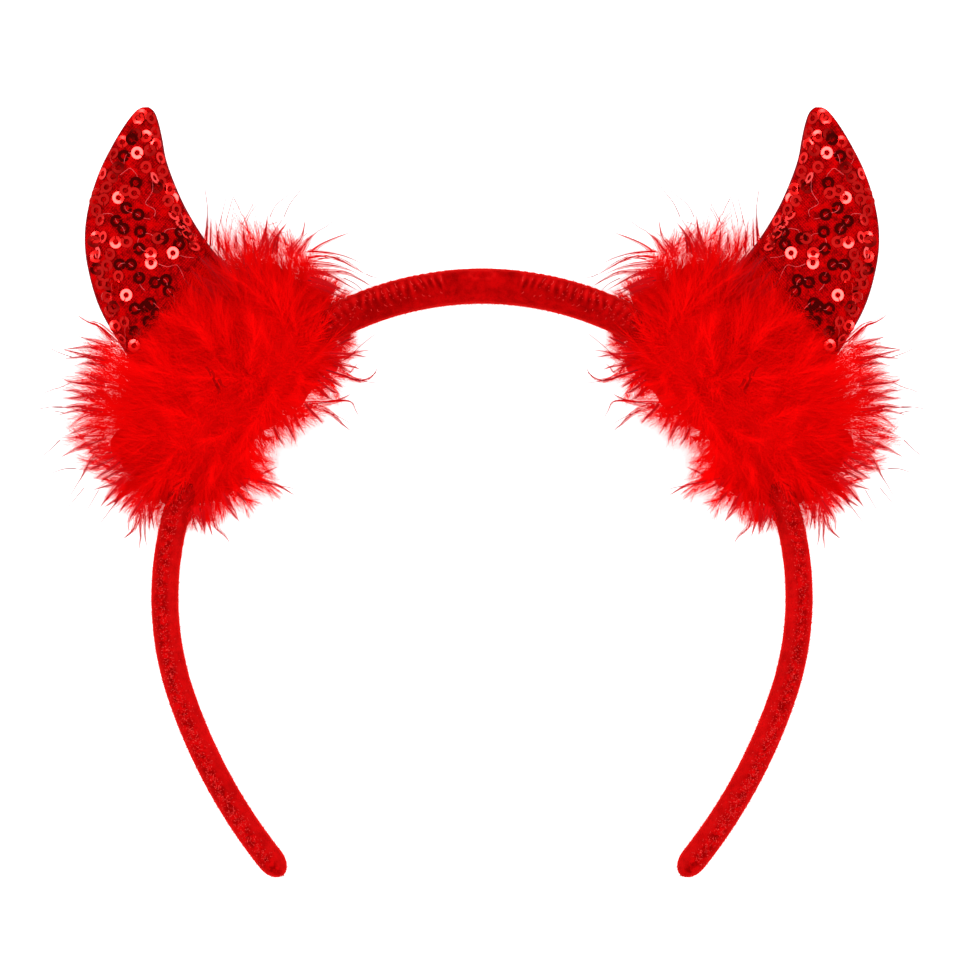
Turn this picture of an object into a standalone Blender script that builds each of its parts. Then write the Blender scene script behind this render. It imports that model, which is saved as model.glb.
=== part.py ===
"""Devil horns headband: a velvet band, two sequined horns and two marabou feather trims.

The headband lies on its back on the surface z = 0, with its crown towards +Y and the fronts of
the horns facing up. The feathers hold the crown a little above the surface, so the whole band
leans by REST_LEAN about the tips of its legs. Everything is modelled in the plane of the band,
with the centre of the crown's arc at the origin, and is then parented to one empty that carries
the lean. The right half (+X) is modelled, and the left half is its mirror image.
"""

import math
import random

import bmesh
import bpy
from mathutils import Matrix, Vector

MM = 0.001
CLEARANCE = 0.35 * MM  # between pieces that touch on the real object
REST_LEAN = math.radians(3.6)
SURFACE = 400 * MM  # size of the block that stands for the surface
SHORTEST_EDGE = 0.03 * MM  # a cut's edges under this are taken out

# Band: centreline arcs of one half, from the crown to the tip of the leg.
# Columns: radius in mm, angle from the crown in degrees where the arc ends.
BAND_ARCS = (
    (73.0, 52.0),
    (69.6, 108.4),
    (123.0, 180.0),
)
BAND_HALF_LENGTH = 182.6 * MM
BAND_CROWN_HEIGHT = 72.0 * MM  # of the centreline above the origin
BAND_THICKNESS = (8.1 * MM, 6.2 * MM)  # in the plane of the band: at the crown, in the legs
BAND_DEPTH = (8.8 * MM, 7.0 * MM)  # across that plane: at the crown, in the legs
BAND_NARROWS = (18.0, 74.0)  # degrees from the crown between which it goes from one to the other
BAND_SQUARENESS = 2.3  # exponent of the section: 2 is an ellipse
BAND_SIDES = 14
BAND_STATIONS = 49
BAND_TIP_LENGTH = 4.6 * MM  # over which the tip rounds off
BAND_TIP_ANGLES = (24.0, 46.0, 64.0, 80.0)  # degrees round the tip, one section each
REST_FLAT = 0.3 * MM  # how deep the velvet is pressed flat under the tip of each leg

# Horn: sections from the foot to the tip, in the horn's own frame, whose origin is the middle
# of the foot, +Y away from the band and +X towards the crown.
# Columns: x and y of the outer edge, x and y of the inner edge, thickness at the middle, in mm.
HORN_SECTIONS = (
    (-15.2, -1.5, 15.2, -1.5, 6.0),
    (-13.7, 12.6, 17.5, 11.2, 6.6),
    (-10.7, 23.7, 19.2, 20.4, 6.8),
    (-7.3, 33.7, 20.4, 26.4, 6.6),
    (-2.3, 41.7, 21.8, 31.3, 6.2),
    (2.7, 47.1, 23.5, 35.9, 5.7),
    (8.8, 51.2, 26.0, 41.1, 5.0),
    (15.8, 54.3, 28.4, 45.2, 4.3),
    (22.4, 56.1, 31.1, 48.6, 3.5),
    (28.0, 57.1, 33.3, 51.6, 2.7),
    (31.8, 57.3, 34.6, 54.0, 1.9),
    (33.5, 56.8, 34.6, 55.6, 1.3),
)
HORN_ANGLE = 48.1  # degrees from the crown to the middle of the foot
HORN_LEAN = 0.6  # degrees that it leans away from the crown
HORN_EDGE = 0.8 * MM  # thickness of the front pad where it is pressed to the backing
HORN_BACKING = 1.4 * MM  # thickness of the flat backing
HORN_BACKING_TOP = -0.9 * MM  # height of the backing's upper face above the plane of the band
HORN_CROWN_POWER = 0.75  # shape of the pad across the horn: 0.5 is round, 1 is a parabola
HORN_STRIPS = 8  # across the upper side of a section
HORN_STEPS = 2  # interpolated sections between two rows of the table

# Marabou trim: how far the tips of its down reach from the band's centreline. Towards both ends
# it lies at the sides and the back of the band, whose front shows.
# Columns: degrees from the crown, reach inwards, outwards, to the front and to the back, in mm.
DOWN_SECTIONS = (
    (23.0, 5.5, 8.0, 3.2, 6.5),
    (28.0, 11.0, 21.0, 3.8, 12.0),
    (33.0, 13.5, 25.5, 9.0, 16.0),
    (39.0, 14.5, 27.5, 18.5, 18.0),
    (48.0, 13.5, 27.5, 20.5, 18.0),
    (58.0, 14.0, 33.0, 20.0, 18.0),
    (64.0, 14.5, 30.0, 12.0, 16.0),
    (69.0, 12.5, 23.0, 4.2, 13.0),
    (73.0, 9.0, 16.0, 3.4, 10.0),
    (77.0, 5.0, 8.0, 3.0, 6.0),
)
HEAD_SHARE = 0.88  # of the reach that the dense head fills
HEAD_SIDES = 14
HEAD_STATIONS = 13
LOCK_STATIONS = 8
LOCKS_AROUND = 8
LOCK_SIDES = 5
LOCK_WIDTHS = (0.36, 0.3, 0.04)  # radius at the root, bend and tip, as shares of its length
LOCK_ROOT_SHARE = 0.5  # of the reach, inside the head
LOCK_SPLAY = 0.28  # how much the locks lean towards the nearer end of the trim
LOCK_CURL = 16.0  # degrees, most, that a lock turns round the band
LOCK_BEND = 0.35  # share of its splay and turn that a lock has at its middle
LOCK_SPREAD = (0.85, 1.15)  # slimmest and widest, as shares of the tabled widths
LOCK_SCATTER = 0.2  # how far a lock is off its place in the row, as a share of the step
LOCK_REACH = (1.02, 1.2)  # shortest and longest, as shares of the tabled reach
HORN_CLEAR_ANGLE = 10.0  # degrees along the band that the locks leave free for a horn's foot
HORN_CLEAR_TURN = 34.0  # degrees round the band that they leave free for it
SINKS = 1.5 * MM  # how far the down would reach under the surface, where it is pressed flat
LOCK_SEED = 11

VELVET_RED = (0.54, 0.004, 0.006)
SEQUIN_RED = (0.42, 0.004, 0.008)
FELT_RED = (0.50, 0.006, 0.010)
DOWN_RED = (0.78, 0.004, 0.004)


def material(name, colour, roughness, metallic=0.0, sheen=0.0):
    """A Principled material with the piece's own colour and gloss."""
    made = bpy.data.materials.new(name)
    made.use_nodes = True
    shader = made.node_tree.nodes["Principled BSDF"]
    shader.inputs["Base Color"].default_value = (*colour, 1.0)
    shader.inputs["Roughness"].default_value = roughness
    shader.inputs["Metallic"].default_value = metallic
    shader.inputs["Sheen Weight"].default_value = sheen
    made.diffuse_color = (*colour, 1.0)
    return made


def smooth_step(low, high, value):
    """0 below low, 1 above high, and smooth in between."""
    share = min(1.0, max(0.0, (value - low) / (high - low)))
    return share * share * (3.0 - 2.0 * share)


def interpolated(rows, steps):
    """The rows with steps more between each two, on a Catmull-Rom curve through them."""
    made = []
    for i in range(len(rows) - 1):
        before = rows[max(i - 1, 0)]
        start, end = rows[i], rows[i + 1]
        after = rows[min(i + 2, len(rows) - 1)]
        for k in range(steps + 1):
            t = k / (steps + 1)
            made.append(
                tuple(
                    0.5
                    * (
                        2 * q
                        + (r - p) * t
                        + (2 * p - 5 * q + 4 * r - s) * t**2
                        + (3 * q - p - 3 * r + s) * t**3
                    )
                    for p, q, r, s in zip(before, start, end, after)
                )
            )
    made.append(tuple(rows[-1]))
    return made


def row_at(rows, key):
    """The row at this value of the first column, between the tabled rows, without that column."""
    for low, high in zip(rows, rows[1:]):
        if key <= high[0]:
            break
    share = smooth_step(low[0], high[0], key)
    return [a + (b - a) * share for a, b in zip(low[1:], high[1:])]


def new_object(name, mesh, collection, made_of=None, parent=None):
    """Links a new object for the mesh into the collection."""
    made = bpy.data.objects.new(name, mesh)
    collection.objects.link(made)
    made.parent = parent
    if made_of:
        mesh.materials.append(made_of)
    return made


def loft(name, rings, frame=None):
    """A closed mesh through rings of equally many points, with a flat face at each end."""
    frame = frame or Matrix.Identity(4)
    shape = bmesh.new()
    rows = [[shape.verts.new(frame @ point) for point in ring] for ring in rings]
    count = len(rings[0])
    for low, high in zip(rows, rows[1:]):
        for k in range(count):
            following = (k + 1) % count
            shape.faces.new((low[k], low[following], high[following], high[k]))
    shape.faces.new(rows[0])
    shape.faces.new(rows[-1])
    bmesh.ops.triangulate(shape, faces=shape.faces)
    bmesh.ops.recalc_face_normals(shape, faces=shape.faces)
    mesh = bpy.data.meshes.new(name)
    shape.to_mesh(mesh)
    shape.free()
    return mesh


def band_station(angle):
    """(point, outward direction) of the centreline at this angle from the crown."""
    point = Vector((0.0, BAND_CROWN_HEIGHT, 0.0))
    begin = 0.0
    for radius, end in BAND_ARCS:
        stop = min(math.radians(end), angle)
        turned = Vector((math.sin(stop) - math.sin(begin), math.cos(stop) - math.cos(begin), 0))
        point = point + turned * radius * MM
        begin = stop
        if angle <= math.radians(end):
            break
    return point, Vector((math.sin(angle), math.cos(angle), 0.0))


def band_angle(length):
    """The angle from the crown at this length along the centreline of the right half."""
    begin = 0.0
    for radius, end in BAND_ARCS:
        angle = begin + length / (radius * MM)
        if angle <= math.radians(end):
            break
        length -= (math.radians(end) - begin) * radius * MM
        begin = math.radians(end)
    return angle


def band_size(angle):
    """(thickness, depth) of the band's section at this angle from the crown."""
    share = smooth_step(*BAND_NARROWS, math.degrees(angle))
    return tuple(a + (b - a) * share for a, b in (BAND_THICKNESS, BAND_DEPTH))


def band_ring(length, scale, grown):
    """The section at this signed length from the crown, as points."""
    angle = band_angle(abs(length))
    point, outward = band_station(angle)
    thickness, depth = band_size(angle)
    ring = []
    for k in range(BAND_SIDES):
        turn = 2 * math.pi * (k + 0.5) / BAND_SIDES
        across, up = (
            math.copysign(abs(value) ** (2 / BAND_SQUARENESS), value)
            for value in (math.cos(turn), math.sin(turn))
        )
        place = point + outward * across * (thickness / 2 * scale + grown)
        place.z = up * (depth / 2 * scale + grown)
        place.x = math.copysign(1.0, length) * place.x
        ring.append(place)
    return ring


def band_mesh(name, grown=0.0):
    """The whole band from tip to tip. grown makes it larger all round, to cut a seat for it."""
    straight = BAND_HALF_LENGTH - BAND_TIP_LENGTH
    half = [(straight * 2 * k / (BAND_STATIONS - 1), 1.0) for k in range(BAND_STATIONS // 2 + 1)]
    for degrees in BAND_TIP_ANGLES:
        round_tip = math.radians(degrees)
        half.append((straight + BAND_TIP_LENGTH * math.sin(round_tip), math.cos(round_tip)))
    whole = [(-length, scale) for length, scale in reversed(half[1:])] + half
    return loft(name, [band_ring(length, scale, grown) for length, scale in whole])


def horn_frame():
    """The horn's own frame on the right half: its foot lies on the band's outer side."""
    angle = math.radians(HORN_ANGLE)
    point, outward = band_station(angle)
    foot = point + outward * band_size(angle)[0] / 2
    leaning = math.radians(HORN_ANGLE + HORN_LEAN)
    upright = Vector((math.sin(leaning), math.cos(leaning), 0.0))
    towards_crown = Vector((-math.cos(leaning), math.sin(leaning), 0.0))
    frame = Matrix((towards_crown, upright, Vector((0, 0, 1)))).transposed()
    return Matrix.Translation(foot) @ frame.to_4x4()


def horn_sections(grown):
    """(outer edge, inner edge, thickness) of each section, in metres in the horn's frame."""
    for outer_x, outer_y, inner_x, inner_y, thickness in interpolated(HORN_SECTIONS, HORN_STEPS):
        outer, inner = Vector((outer_x, outer_y)) * MM, Vector((inner_x, inner_y)) * MM
        across = (inner - outer).normalized() * grown
        yield outer - across, inner + across, thickness * MM


def horn_pad_mesh(name, frame):
    """The padded front: flat below, crowned above and thin round its edge."""
    rings = []
    for outer, inner, thickness in horn_sections(0.0):
        ring = []
        for k in range(HORN_STRIPS + 1):
            across = -math.cos(math.pi * k / HORN_STRIPS)
            crown = (1 - across * across) ** HORN_CROWN_POWER
            place = outer.lerp(inner, (across + 1) / 2)
            top = HORN_EDGE + max(0.0, thickness - HORN_EDGE) * crown
            ring.append(Vector((place.x, place.y, HORN_BACKING_TOP + CLEARANCE + top)))
        for end in (inner, outer):
            ring.append(Vector((end.x, end.y, HORN_BACKING_TOP + CLEARANCE)))
        rings.append(ring)
    return loft(name, rings, frame)


def horn_slab_mesh(name, frame, bottom, top, grown=0.0):
    """The horn's outline between two heights: the backing, or a cutter for the whole horn."""
    rings = []
    for outer, inner, _ in horn_sections(grown):
        corners = ((outer, bottom), (inner, bottom), (inner, top), (outer, top))
        rings.append([Vector((place.x, place.y, height)) for place, height in corners])
    return loft(name, rings, frame)


def down_reach(angle, turn, rest_height):
    """How far the down reaches from the centreline, turn radians round the band from outwards."""
    inwards, outwards, front, back = (
        value * MM for value in row_at(DOWN_SECTIONS, math.degrees(angle))
    )
    across = (outwards - inwards) / 2 + (outwards + inwards) / 2 * math.cos(turn)
    height = front if math.sin(turn) > 0 else min(back, rest_height + SINKS)
    return across, height * math.sin(turn)


def down_point(angle, turn, share, lean):
    """The point at this share of the down's reach from the centreline."""
    point, outward = band_station(angle)
    across, height = down_reach(angle, turn, (lean @ point).z)
    return point + (outward * across + Vector((0.0, 0.0, height))) * share


def down_head_mesh(name, lean):
    """The dense middle of a trim, round the band."""
    first, last = DOWN_SECTIONS[0][0], DOWN_SECTIONS[-1][0]
    rings = []
    for i in range(HEAD_STATIONS):
        angle = math.radians(first + (last - first) * i / (HEAD_STATIONS - 1))
        turns = [2 * math.pi * k / HEAD_SIDES for k in range(HEAD_SIDES)]
        rings.append([down_point(angle, turn, HEAD_SHARE, lean) for turn in turns])
    return loft(name, rings)


def lock_mesh(name, angle, turn, chance, lean):
    """One tapered lock of down, from inside the head to beyond it."""
    middle = math.radians((DOWN_SECTIONS[0][0] + DOWN_SECTIONS[-1][0]) / 2)
    splay = (angle - middle) * LOCK_SPLAY
    curl = math.radians(LOCK_CURL) * chance.uniform(-1, 1)
    reach = chance.uniform(*LOCK_REACH)
    root = down_point(angle, turn, LOCK_ROOT_SHARE, lean)
    middle_share = (LOCK_ROOT_SHARE + reach) / 2
    bend = down_point(angle + splay * LOCK_BEND, turn + curl * LOCK_BEND, middle_share, lean)
    tip = down_point(angle + splay, turn + curl, reach, lean)
    outward = band_station(angle)[1]
    along_band = outward.cross(Vector((0.0, 0.0, 1.0)))
    size = (tip - root).length * chance.uniform(*LOCK_SPREAD)
    rings = []
    for step, width in enumerate(LOCK_WIDTHS):
        share = step / (len(LOCK_WIDTHS) - 1)
        place = root.lerp(bend, share).lerp(bend.lerp(tip, share), share)
        along = (bend - root).lerp(tip - bend, share).normalized()
        side = (along_band - along * along.dot(along_band)).normalized()
        other = along.cross(side)
        ring = []
        for k in range(LOCK_SIDES):
            turned = 2 * math.pi * k / LOCK_SIDES
            spread = side * math.cos(turned) + other * math.sin(turned)
            ring.append(place + spread * size * width)
        rings.append(ring)
    return loft(name, rings)


def locks(lean, collection, parent):
    """The locks of one trim, in staggered rows, clear of the horn's foot."""
    chance = random.Random(LOCK_SEED)
    first, last = (math.radians(DOWN_SECTIONS[i][0]) for i in (0, -1))
    for i in range(LOCK_STATIONS):
        angle = first + (last - first) * (i + 0.5) / LOCK_STATIONS
        for k in range(LOCKS_AROUND):
            place = k + 0.5 * (i % 2) + chance.uniform(-LOCK_SCATTER, LOCK_SCATTER)
            turn = 2 * math.pi * place / LOCKS_AROUND
            off = abs(math.degrees(math.remainder(turn, 2 * math.pi)))
            near = abs(math.degrees(angle) - HORN_ANGLE) < HORN_CLEAR_ANGLE
            if near and off < HORN_CLEAR_TURN:
                continue
            name = f"lock_{i}_{k}"
            mesh = lock_mesh(name, angle, turn, chance, lean)
            hide(new_object(name, mesh, collection, parent=parent))


def boolean(obj, operation, other, solver="EXACT"):
    """Joins the other object to obj, or cuts it away."""
    added = obj.modifiers.new(operation.title(), "BOOLEAN")
    added.operation = operation
    added.solver = solver
    added.object = other


def apply_modifiers(obj):
    """Gives obj its evaluated mesh, without the slivers and loose crumbs that a cut leaves."""
    bpy.context.view_layer.update()
    evaluated = obj.evaluated_get(bpy.context.evaluated_depsgraph_get())
    mesh = bpy.data.meshes.new_from_object(evaluated)
    obj.modifiers.clear()
    obj.data = mesh
    shape = bmesh.new()
    shape.from_mesh(mesh)
    bmesh.ops.triangulate(shape, faces=shape.faces)
    bmesh.ops.dissolve_degenerate(shape, dist=SHORTEST_EDGE, edges=shape.edges)
    left, bodies = set(shape.verts), []
    while left:
        body, edge = set(), {next(iter(left))}
        while edge:
            body |= edge
            edge = {e.other_vert(v) for v in edge for e in v.link_edges} - body
        bodies.append(body)
        left -= body
    largest = max(bodies, key=len)
    bmesh.ops.delete(shape, geom=[v for v in shape.verts if v not in largest], context="VERTS")
    shape.to_mesh(mesh)
    shape.free()


def mirrored(obj, name, collection):
    """The left half's copy of a piece of the right half."""
    mesh = obj.data.copy()
    mesh.name = name
    for vertex in mesh.vertices:
        vertex.co.x = -vertex.co.x
    mesh.flip_normals()
    made = bpy.data.objects.new(name, mesh)
    collection.objects.link(made)
    made.parent = obj.parent
    return made


def new_collection(name, hidden=False):
    """A collection in the scene. One of helpers is left out of the render."""
    made = bpy.data.collections.new(name)
    bpy.context.scene.collection.children.link(made)
    made.hide_render = hidden
    return made


def hide(helper):
    """Marks a cutter or other helper."""
    helper.hide_render = True
    helper.display_type = "WIRE"


def surface_cutter(collection):
    """A block whose top face is the surface that the headband lies on."""
    mesh = bpy.data.meshes.new("surface")
    shape = bmesh.new()
    bmesh.ops.create_cube(shape, size=1.0)
    shape.to_mesh(mesh)
    shape.free()
    mesh.transform(Matrix.Translation((0, 0, -SURFACE / 2)) @ Matrix.Scale(SURFACE, 4))
    made = new_object("surface", mesh, collection)
    hide(made)
    return made


def rest_empty():
    """The empty that leans the plane of the band back, with the legs' tips on the surface."""
    empty = bpy.data.objects.new("plane_of_band", None)
    bpy.context.scene.collection.objects.link(empty)
    straight = BAND_HALF_LENGTH - BAND_TIP_LENGTH
    tip = band_station(band_angle(straight))[0]
    tip.z = -BAND_DEPTH[1] / 2
    lean = Matrix.Rotation(REST_LEAN, 4, "X")
    empty.matrix_world = Matrix.Translation((0, 0, -REST_FLAT - (lean @ tip).z)) @ lean
    return empty


def centre(parts, empty):
    """Moves the headband along Y so that the middle of its box is over the origin."""
    bpy.context.view_layer.update()
    graph = bpy.context.evaluated_depsgraph_get()
    places = [
        (part.matrix_world @ vertex.co).y
        for part in parts
        for vertex in part.evaluated_get(graph).data.vertices
    ]
    empty.location.y -= (min(places) + max(places)) / 2


def main():
    for old in list(bpy.data.objects):
        bpy.data.objects.remove(old)
    headband = new_collection("devil_horns_headband")
    cutters = new_collection("cutters", hidden=True)
    lock_parts = new_collection("locks", hidden=True)
    velvet = material("velvet", VELVET_RED, 0.85, sheen=0.6)
    sequins = material("sequined_knit", SEQUIN_RED, 0.35, metallic=0.2)
    felt = material("felt", FELT_RED, 0.9)
    down = material("marabou_down", DOWN_RED, 0.95, sheen=0.3)

    empty = rest_empty()
    surface = surface_cutter(cutters)
    band = new_object("band", band_mesh("band"), headband, velvet, empty)
    boolean(band, "DIFFERENCE", surface)
    apply_modifiers(band)
    band_room = new_object("band_room", band_mesh("band_room", CLEARANCE), cutters, None, empty)
    hide(band_room)

    frame = horn_frame()
    pad_mesh = horn_pad_mesh("horn_right_front", frame)
    pad = new_object("horn_right_front", pad_mesh, headband, sequins, empty)
    bottom = HORN_BACKING_TOP - HORN_BACKING
    backing_mesh = horn_slab_mesh("horn_right_back", frame, bottom, HORN_BACKING_TOP)
    backing = new_object("horn_right_back", backing_mesh, headband, felt, empty)
    for piece in (pad, backing):
        boolean(piece, "DIFFERENCE", band_room)
        apply_modifiers(piece)

    trim = new_object(
        "marabou_right", down_head_mesh("marabou_right", empty.matrix_basis), headband, down, empty
    )
    locks(empty.matrix_basis, lock_parts, empty)
    for lock in lock_parts.objects:
        boolean(trim, "UNION", lock, "MANIFOLD")
    boolean(trim, "DIFFERENCE", band_room, "MANIFOLD")
    top = HORN_BACKING_TOP + CLEARANCE + max(row[-1] for row in HORN_SECTIONS) * MM
    room_mesh = horn_slab_mesh("horn_room", frame, bottom - CLEARANCE, top + CLEARANCE, CLEARANCE)
    horn_room = new_object("horn_room", room_mesh, cutters, None, empty)
    hide(horn_room)
    boolean(trim, "DIFFERENCE", horn_room, "MANIFOLD")
    boolean(trim, "DIFFERENCE", surface, "MANIFOLD")
    apply_modifiers(trim)
    for lock in list(lock_parts.objects):
        bpy.data.objects.remove(lock)

    for piece in (pad, backing, trim):
        mirrored(piece, piece.name.replace("right", "left"), headband)
    centre(headband.objects, empty)


main()
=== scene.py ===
"""The looks of the devil horns headband: velvet band, sequined horns and marabou feather trims.

Shapes are worked out in the plane of the band, with the centre of the crown's arc at the origin,
the crown towards +Y and the fronts of the horns facing +Z, and are then laid into the frame by
PLANE. The right half (+X) is made, and the left half is its mirror image.
"""

import math

import bmesh
import bpy
import numpy as np
from mathutils import Matrix, Vector
from mathutils.bvhtree import BVHTree


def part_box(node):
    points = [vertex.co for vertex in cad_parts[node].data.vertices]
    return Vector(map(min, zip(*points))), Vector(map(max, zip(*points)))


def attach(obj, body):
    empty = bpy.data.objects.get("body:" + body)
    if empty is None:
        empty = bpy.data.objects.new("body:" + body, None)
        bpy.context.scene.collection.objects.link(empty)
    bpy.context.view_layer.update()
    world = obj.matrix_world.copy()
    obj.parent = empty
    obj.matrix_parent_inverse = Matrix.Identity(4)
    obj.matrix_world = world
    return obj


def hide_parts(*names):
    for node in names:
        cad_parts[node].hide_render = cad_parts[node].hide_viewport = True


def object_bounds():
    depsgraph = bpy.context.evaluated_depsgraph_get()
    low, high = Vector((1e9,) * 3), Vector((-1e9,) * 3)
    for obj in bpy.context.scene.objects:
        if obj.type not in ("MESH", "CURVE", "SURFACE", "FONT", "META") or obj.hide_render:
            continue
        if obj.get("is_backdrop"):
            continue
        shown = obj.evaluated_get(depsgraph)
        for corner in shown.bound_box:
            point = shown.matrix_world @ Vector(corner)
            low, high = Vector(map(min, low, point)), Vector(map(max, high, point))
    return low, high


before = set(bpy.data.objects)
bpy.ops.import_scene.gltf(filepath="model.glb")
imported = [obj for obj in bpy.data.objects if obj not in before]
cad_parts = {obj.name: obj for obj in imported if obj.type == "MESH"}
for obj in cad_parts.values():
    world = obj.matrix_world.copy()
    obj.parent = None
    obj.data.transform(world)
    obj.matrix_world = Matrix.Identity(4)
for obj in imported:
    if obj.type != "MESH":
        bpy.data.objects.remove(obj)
CAD_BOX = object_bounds()

MM = 0.001
REST_LEAN = math.radians(3.6)
REST_FLAT = 0.3 * MM

# Band, as in the CAD. Columns of the arcs: radius in mm, angle from the crown in degrees at its end.
BAND_ARCS = ((73.0, 52.0), (69.6, 108.4), (123.0, 180.0))
BAND_HALF_LENGTH = 182.6 * MM
BAND_CROWN_HEIGHT = 72.0 * MM
BAND_THICKNESS = (8.1 * MM, 6.2 * MM)
BAND_DEPTH = (8.8 * MM, 7.0 * MM)
BAND_NARROWS = (18.0, 74.0)
BAND_SQUARENESS = 2.3
BAND_TIP_LENGTH = 4.6 * MM
BAND_RINGS = 640  # from the crown to where the tip rounds off
BAND_SIDES = 44
TIP_RINGS = 14

# Seam of the velvet, along the front of the band. Across is a share of half the thickness.
SEAM_ACROSS = 0.2
SEAM_HALF_WIDTH = 0.52
SEAM_DEPTH = 0.17 * MM
GATHER_PITCH = 1.85 * MM
GATHER_DEPTH = 0.5 * MM
GATHER_SLANT = 0.42  # pitches that a gather slants by, over half of the band's thickness
HOLLOW_ACROSS = 0.12  # middle of the hollows between the gathers, dark with painted shade
HOLLOW_HALF_WIDTH = 0.34
# Painted highlights on the puffs between the gathers lie around this share across.
PUFF_ACROSS = 0.5
PLAIN_CROWN = (7.2 * MM, 9.6 * MM)  # half length of the plain stretch, and where gathers are full
GATHERS_END = (62.0, 78.0)  # degrees over which the gathers give way to mottled pile

# Horn, as in the CAD. Columns: outer edge x, y, inner edge x, y, thickness, in mm.
HORN_SECTIONS = (
    (-15.2, -1.5, 15.2, -1.5, 6.0),
    (-13.7, 12.6, 17.5, 11.2, 6.6),
    (-10.7, 23.7, 19.2, 20.4, 6.8),
    (-7.3, 33.7, 20.4, 26.4, 6.6),
    (-2.3, 41.7, 21.8, 31.3, 6.2),
    (2.7, 47.1, 23.5, 35.9, 5.7),
    (8.8, 51.2, 26.0, 41.1, 5.0),
    (15.8, 54.3, 28.4, 45.2, 4.3),
    (22.4, 56.1, 31.1, 48.6, 3.5),
    (28.0, 57.1, 33.3, 51.6, 2.7),
    (31.8, 57.3, 34.6, 54.0, 1.9),
    (33.5, 56.8, 34.6, 55.6, 1.3),
)
HORN_ANGLE = 48.1
HORN_LEAN = 0.6
HORN_EDGE = 0.8 * MM
HORN_BACKING = 1.4 * MM
HORN_BACKING_TOP = -0.9 * MM
HORN_CLEARANCE = 0.35 * MM
HORN_CROWN_POWER = 0.75
HORN_STRIPS = 36
HORN_STEPS = 6

# Reach of the down from the band's centreline. Columns: degrees from the crown, reach inwards,
# outwards, to the front and to the back, in mm.
DOWN_REACH = (
    (20.0, 4.2, 4.2, 3.0, 4.5),
    (22.0, 4.6, 5.0, 3.2, 6.5),
    (25.0, 6.0, 13.0, 3.4, 9.0),
    (28.0, 12.5, 24.5, 3.8, 12.0),
    (31.0, 15.5, 29.5, 6.5, 14.5),
    (34.0, 15.5, 32.0, 11.0, 16.5),
    (39.0, 18.0, 31.5, 18.5, 18.0),
    (49.0, 16.5, 31.0, 20.5, 18.0),
    (55.0, 15.8, 36.0, 20.3, 18.0),
    (58.0, 17.0, 37.0, 20.0, 18.0),
    (61.0, 20.5, 34.5, 16.5, 17.0),
    (64.0, 19.5, 32.5, 12.0, 16.0),
    (67.0, 17.5, 31.0, 7.0, 14.5),
    (70.0, 15.0, 25.5, 4.0, 12.0),
    (73.0, 10.5, 17.0, 3.4, 10.0),
    (76.0, 4.6, 10.0, 3.0, 6.5),
    (79.0, 3.6, 4.0, 3.0, 4.5),
)
DOWN_SPAN = (27.0, 73.0)  # degrees between which the feathers are bound on
DOWN_MIDDLE = math.radians(49.0)
TIP_SPAN = (math.radians(24.0), math.radians(77.0))  # that their tips lie between
TIP_SOFTNESS = math.radians(2.2)
SINKS = 1.5 * MM
FLOOR_GAP = 0.15 * MM  # of the down
BAND_FLOOR_GAP = 0.02 * MM

# The photograph: a square image, its scale, and the pixel of the arch's centre.
PHOTO_SIDE = 970
PHOTO_SCALE = 0.22796 * MM
ARCH_PIXEL = (482.0, 602.0)
CAMERA_HEIGHT = 1.2
SENSOR = 36.0

SIDES = ((1, "right"), (-1, "left"))  # the half that is made, and its mirror image
UPWARDS = (0.0, 0.0, 1.0)
# Where each random number generator starts, by what it scatters.
SEEDS = {
    "wander": 5,
    "strength": 6,
    "fine": 7,
    "coarse": 8,
    "hollows": 9,
    "pile": 21,
    "stitches": 31,
    "sequins": 41,
    "down": 51,
    "core": 61,
}


def smooth_step(low, high, value):
    """0 below low, 1 above high, and smooth in between."""
    share = np.clip((np.asarray(value, float) - low) / (high - low), 0.0, 1.0)
    return share * share * (3.0 - 2.0 * share)


def unit(vectors):
    """The vectors at length 1."""
    return vectors / np.maximum(np.linalg.norm(vectors, axis=-1, keepdims=True), 1e-12)


def from_photo(pixel, height=0.0):
    """The (x, y), on the right half, of what this pixel of the left half shows at this height."""
    middle = np.array((PHOTO_SIDE / 2, PHOTO_SIDE / 2))
    offset = (middle - pixel) * PHOTO_SCALE * (1 - height / CAMERA_HEIGHT)
    return (ARCH_PIXEL - middle) * PHOTO_SCALE + offset


def band_point(angle):
    """Points of the centreline at these angles from the crown, and its outward directions."""
    angle = np.asarray(angle, float)
    point = np.zeros((*angle.shape, 3))
    point[..., 1] = BAND_CROWN_HEIGHT
    begin = 0.0
    for radius, end in BAND_ARCS:
        stop = np.clip(angle, begin, math.radians(end))
        point[..., 0] += radius * MM * (np.sin(stop) - math.sin(begin))
        point[..., 1] += radius * MM * (np.cos(stop) - math.cos(begin))
        begin = math.radians(end)
    return point, np.stack([np.sin(angle), np.cos(angle), np.zeros_like(angle)], -1)


def band_angle(length):
    """The angles from the crown at these lengths along the centreline."""
    lengths, angles = [0.0], [0.0]
    for radius, end in BAND_ARCS:
        angles.append(math.radians(end))
        lengths.append(lengths[-1] + (angles[-1] - angles[-2]) * radius * MM)
    return np.interp(length, lengths, angles)


def band_size(angle):
    """(thickness, depth) of the band at these angles from the crown."""
    share = smooth_step(*BAND_NARROWS, np.degrees(angle))
    return [a + (b - a) * share for a, b in (BAND_THICKNESS, BAND_DEPTH)]


def plane_matrix():
    """From the plane of the band to the frame: the lean, then the place at rest."""
    lean = Matrix.Rotation(REST_LEAN, 4, "X")
    tip = Vector(band_point(band_angle(BAND_HALF_LENGTH - BAND_TIP_LENGTH))[0])
    tip.z = -BAND_DEPTH[1] / 2
    crown = Vector((0.0, BAND_CROWN_HEIGHT + BAND_THICKNESS[0] / 2, 0.0))
    along_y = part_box("band")[1].y - (lean @ crown).y
    return Matrix.Translation((0.0, along_y, -REST_FLAT - (lean @ tip).z)) @ lean


PLANE = plane_matrix()
PLANE_ARRAY = np.array(PLANE)


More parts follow.
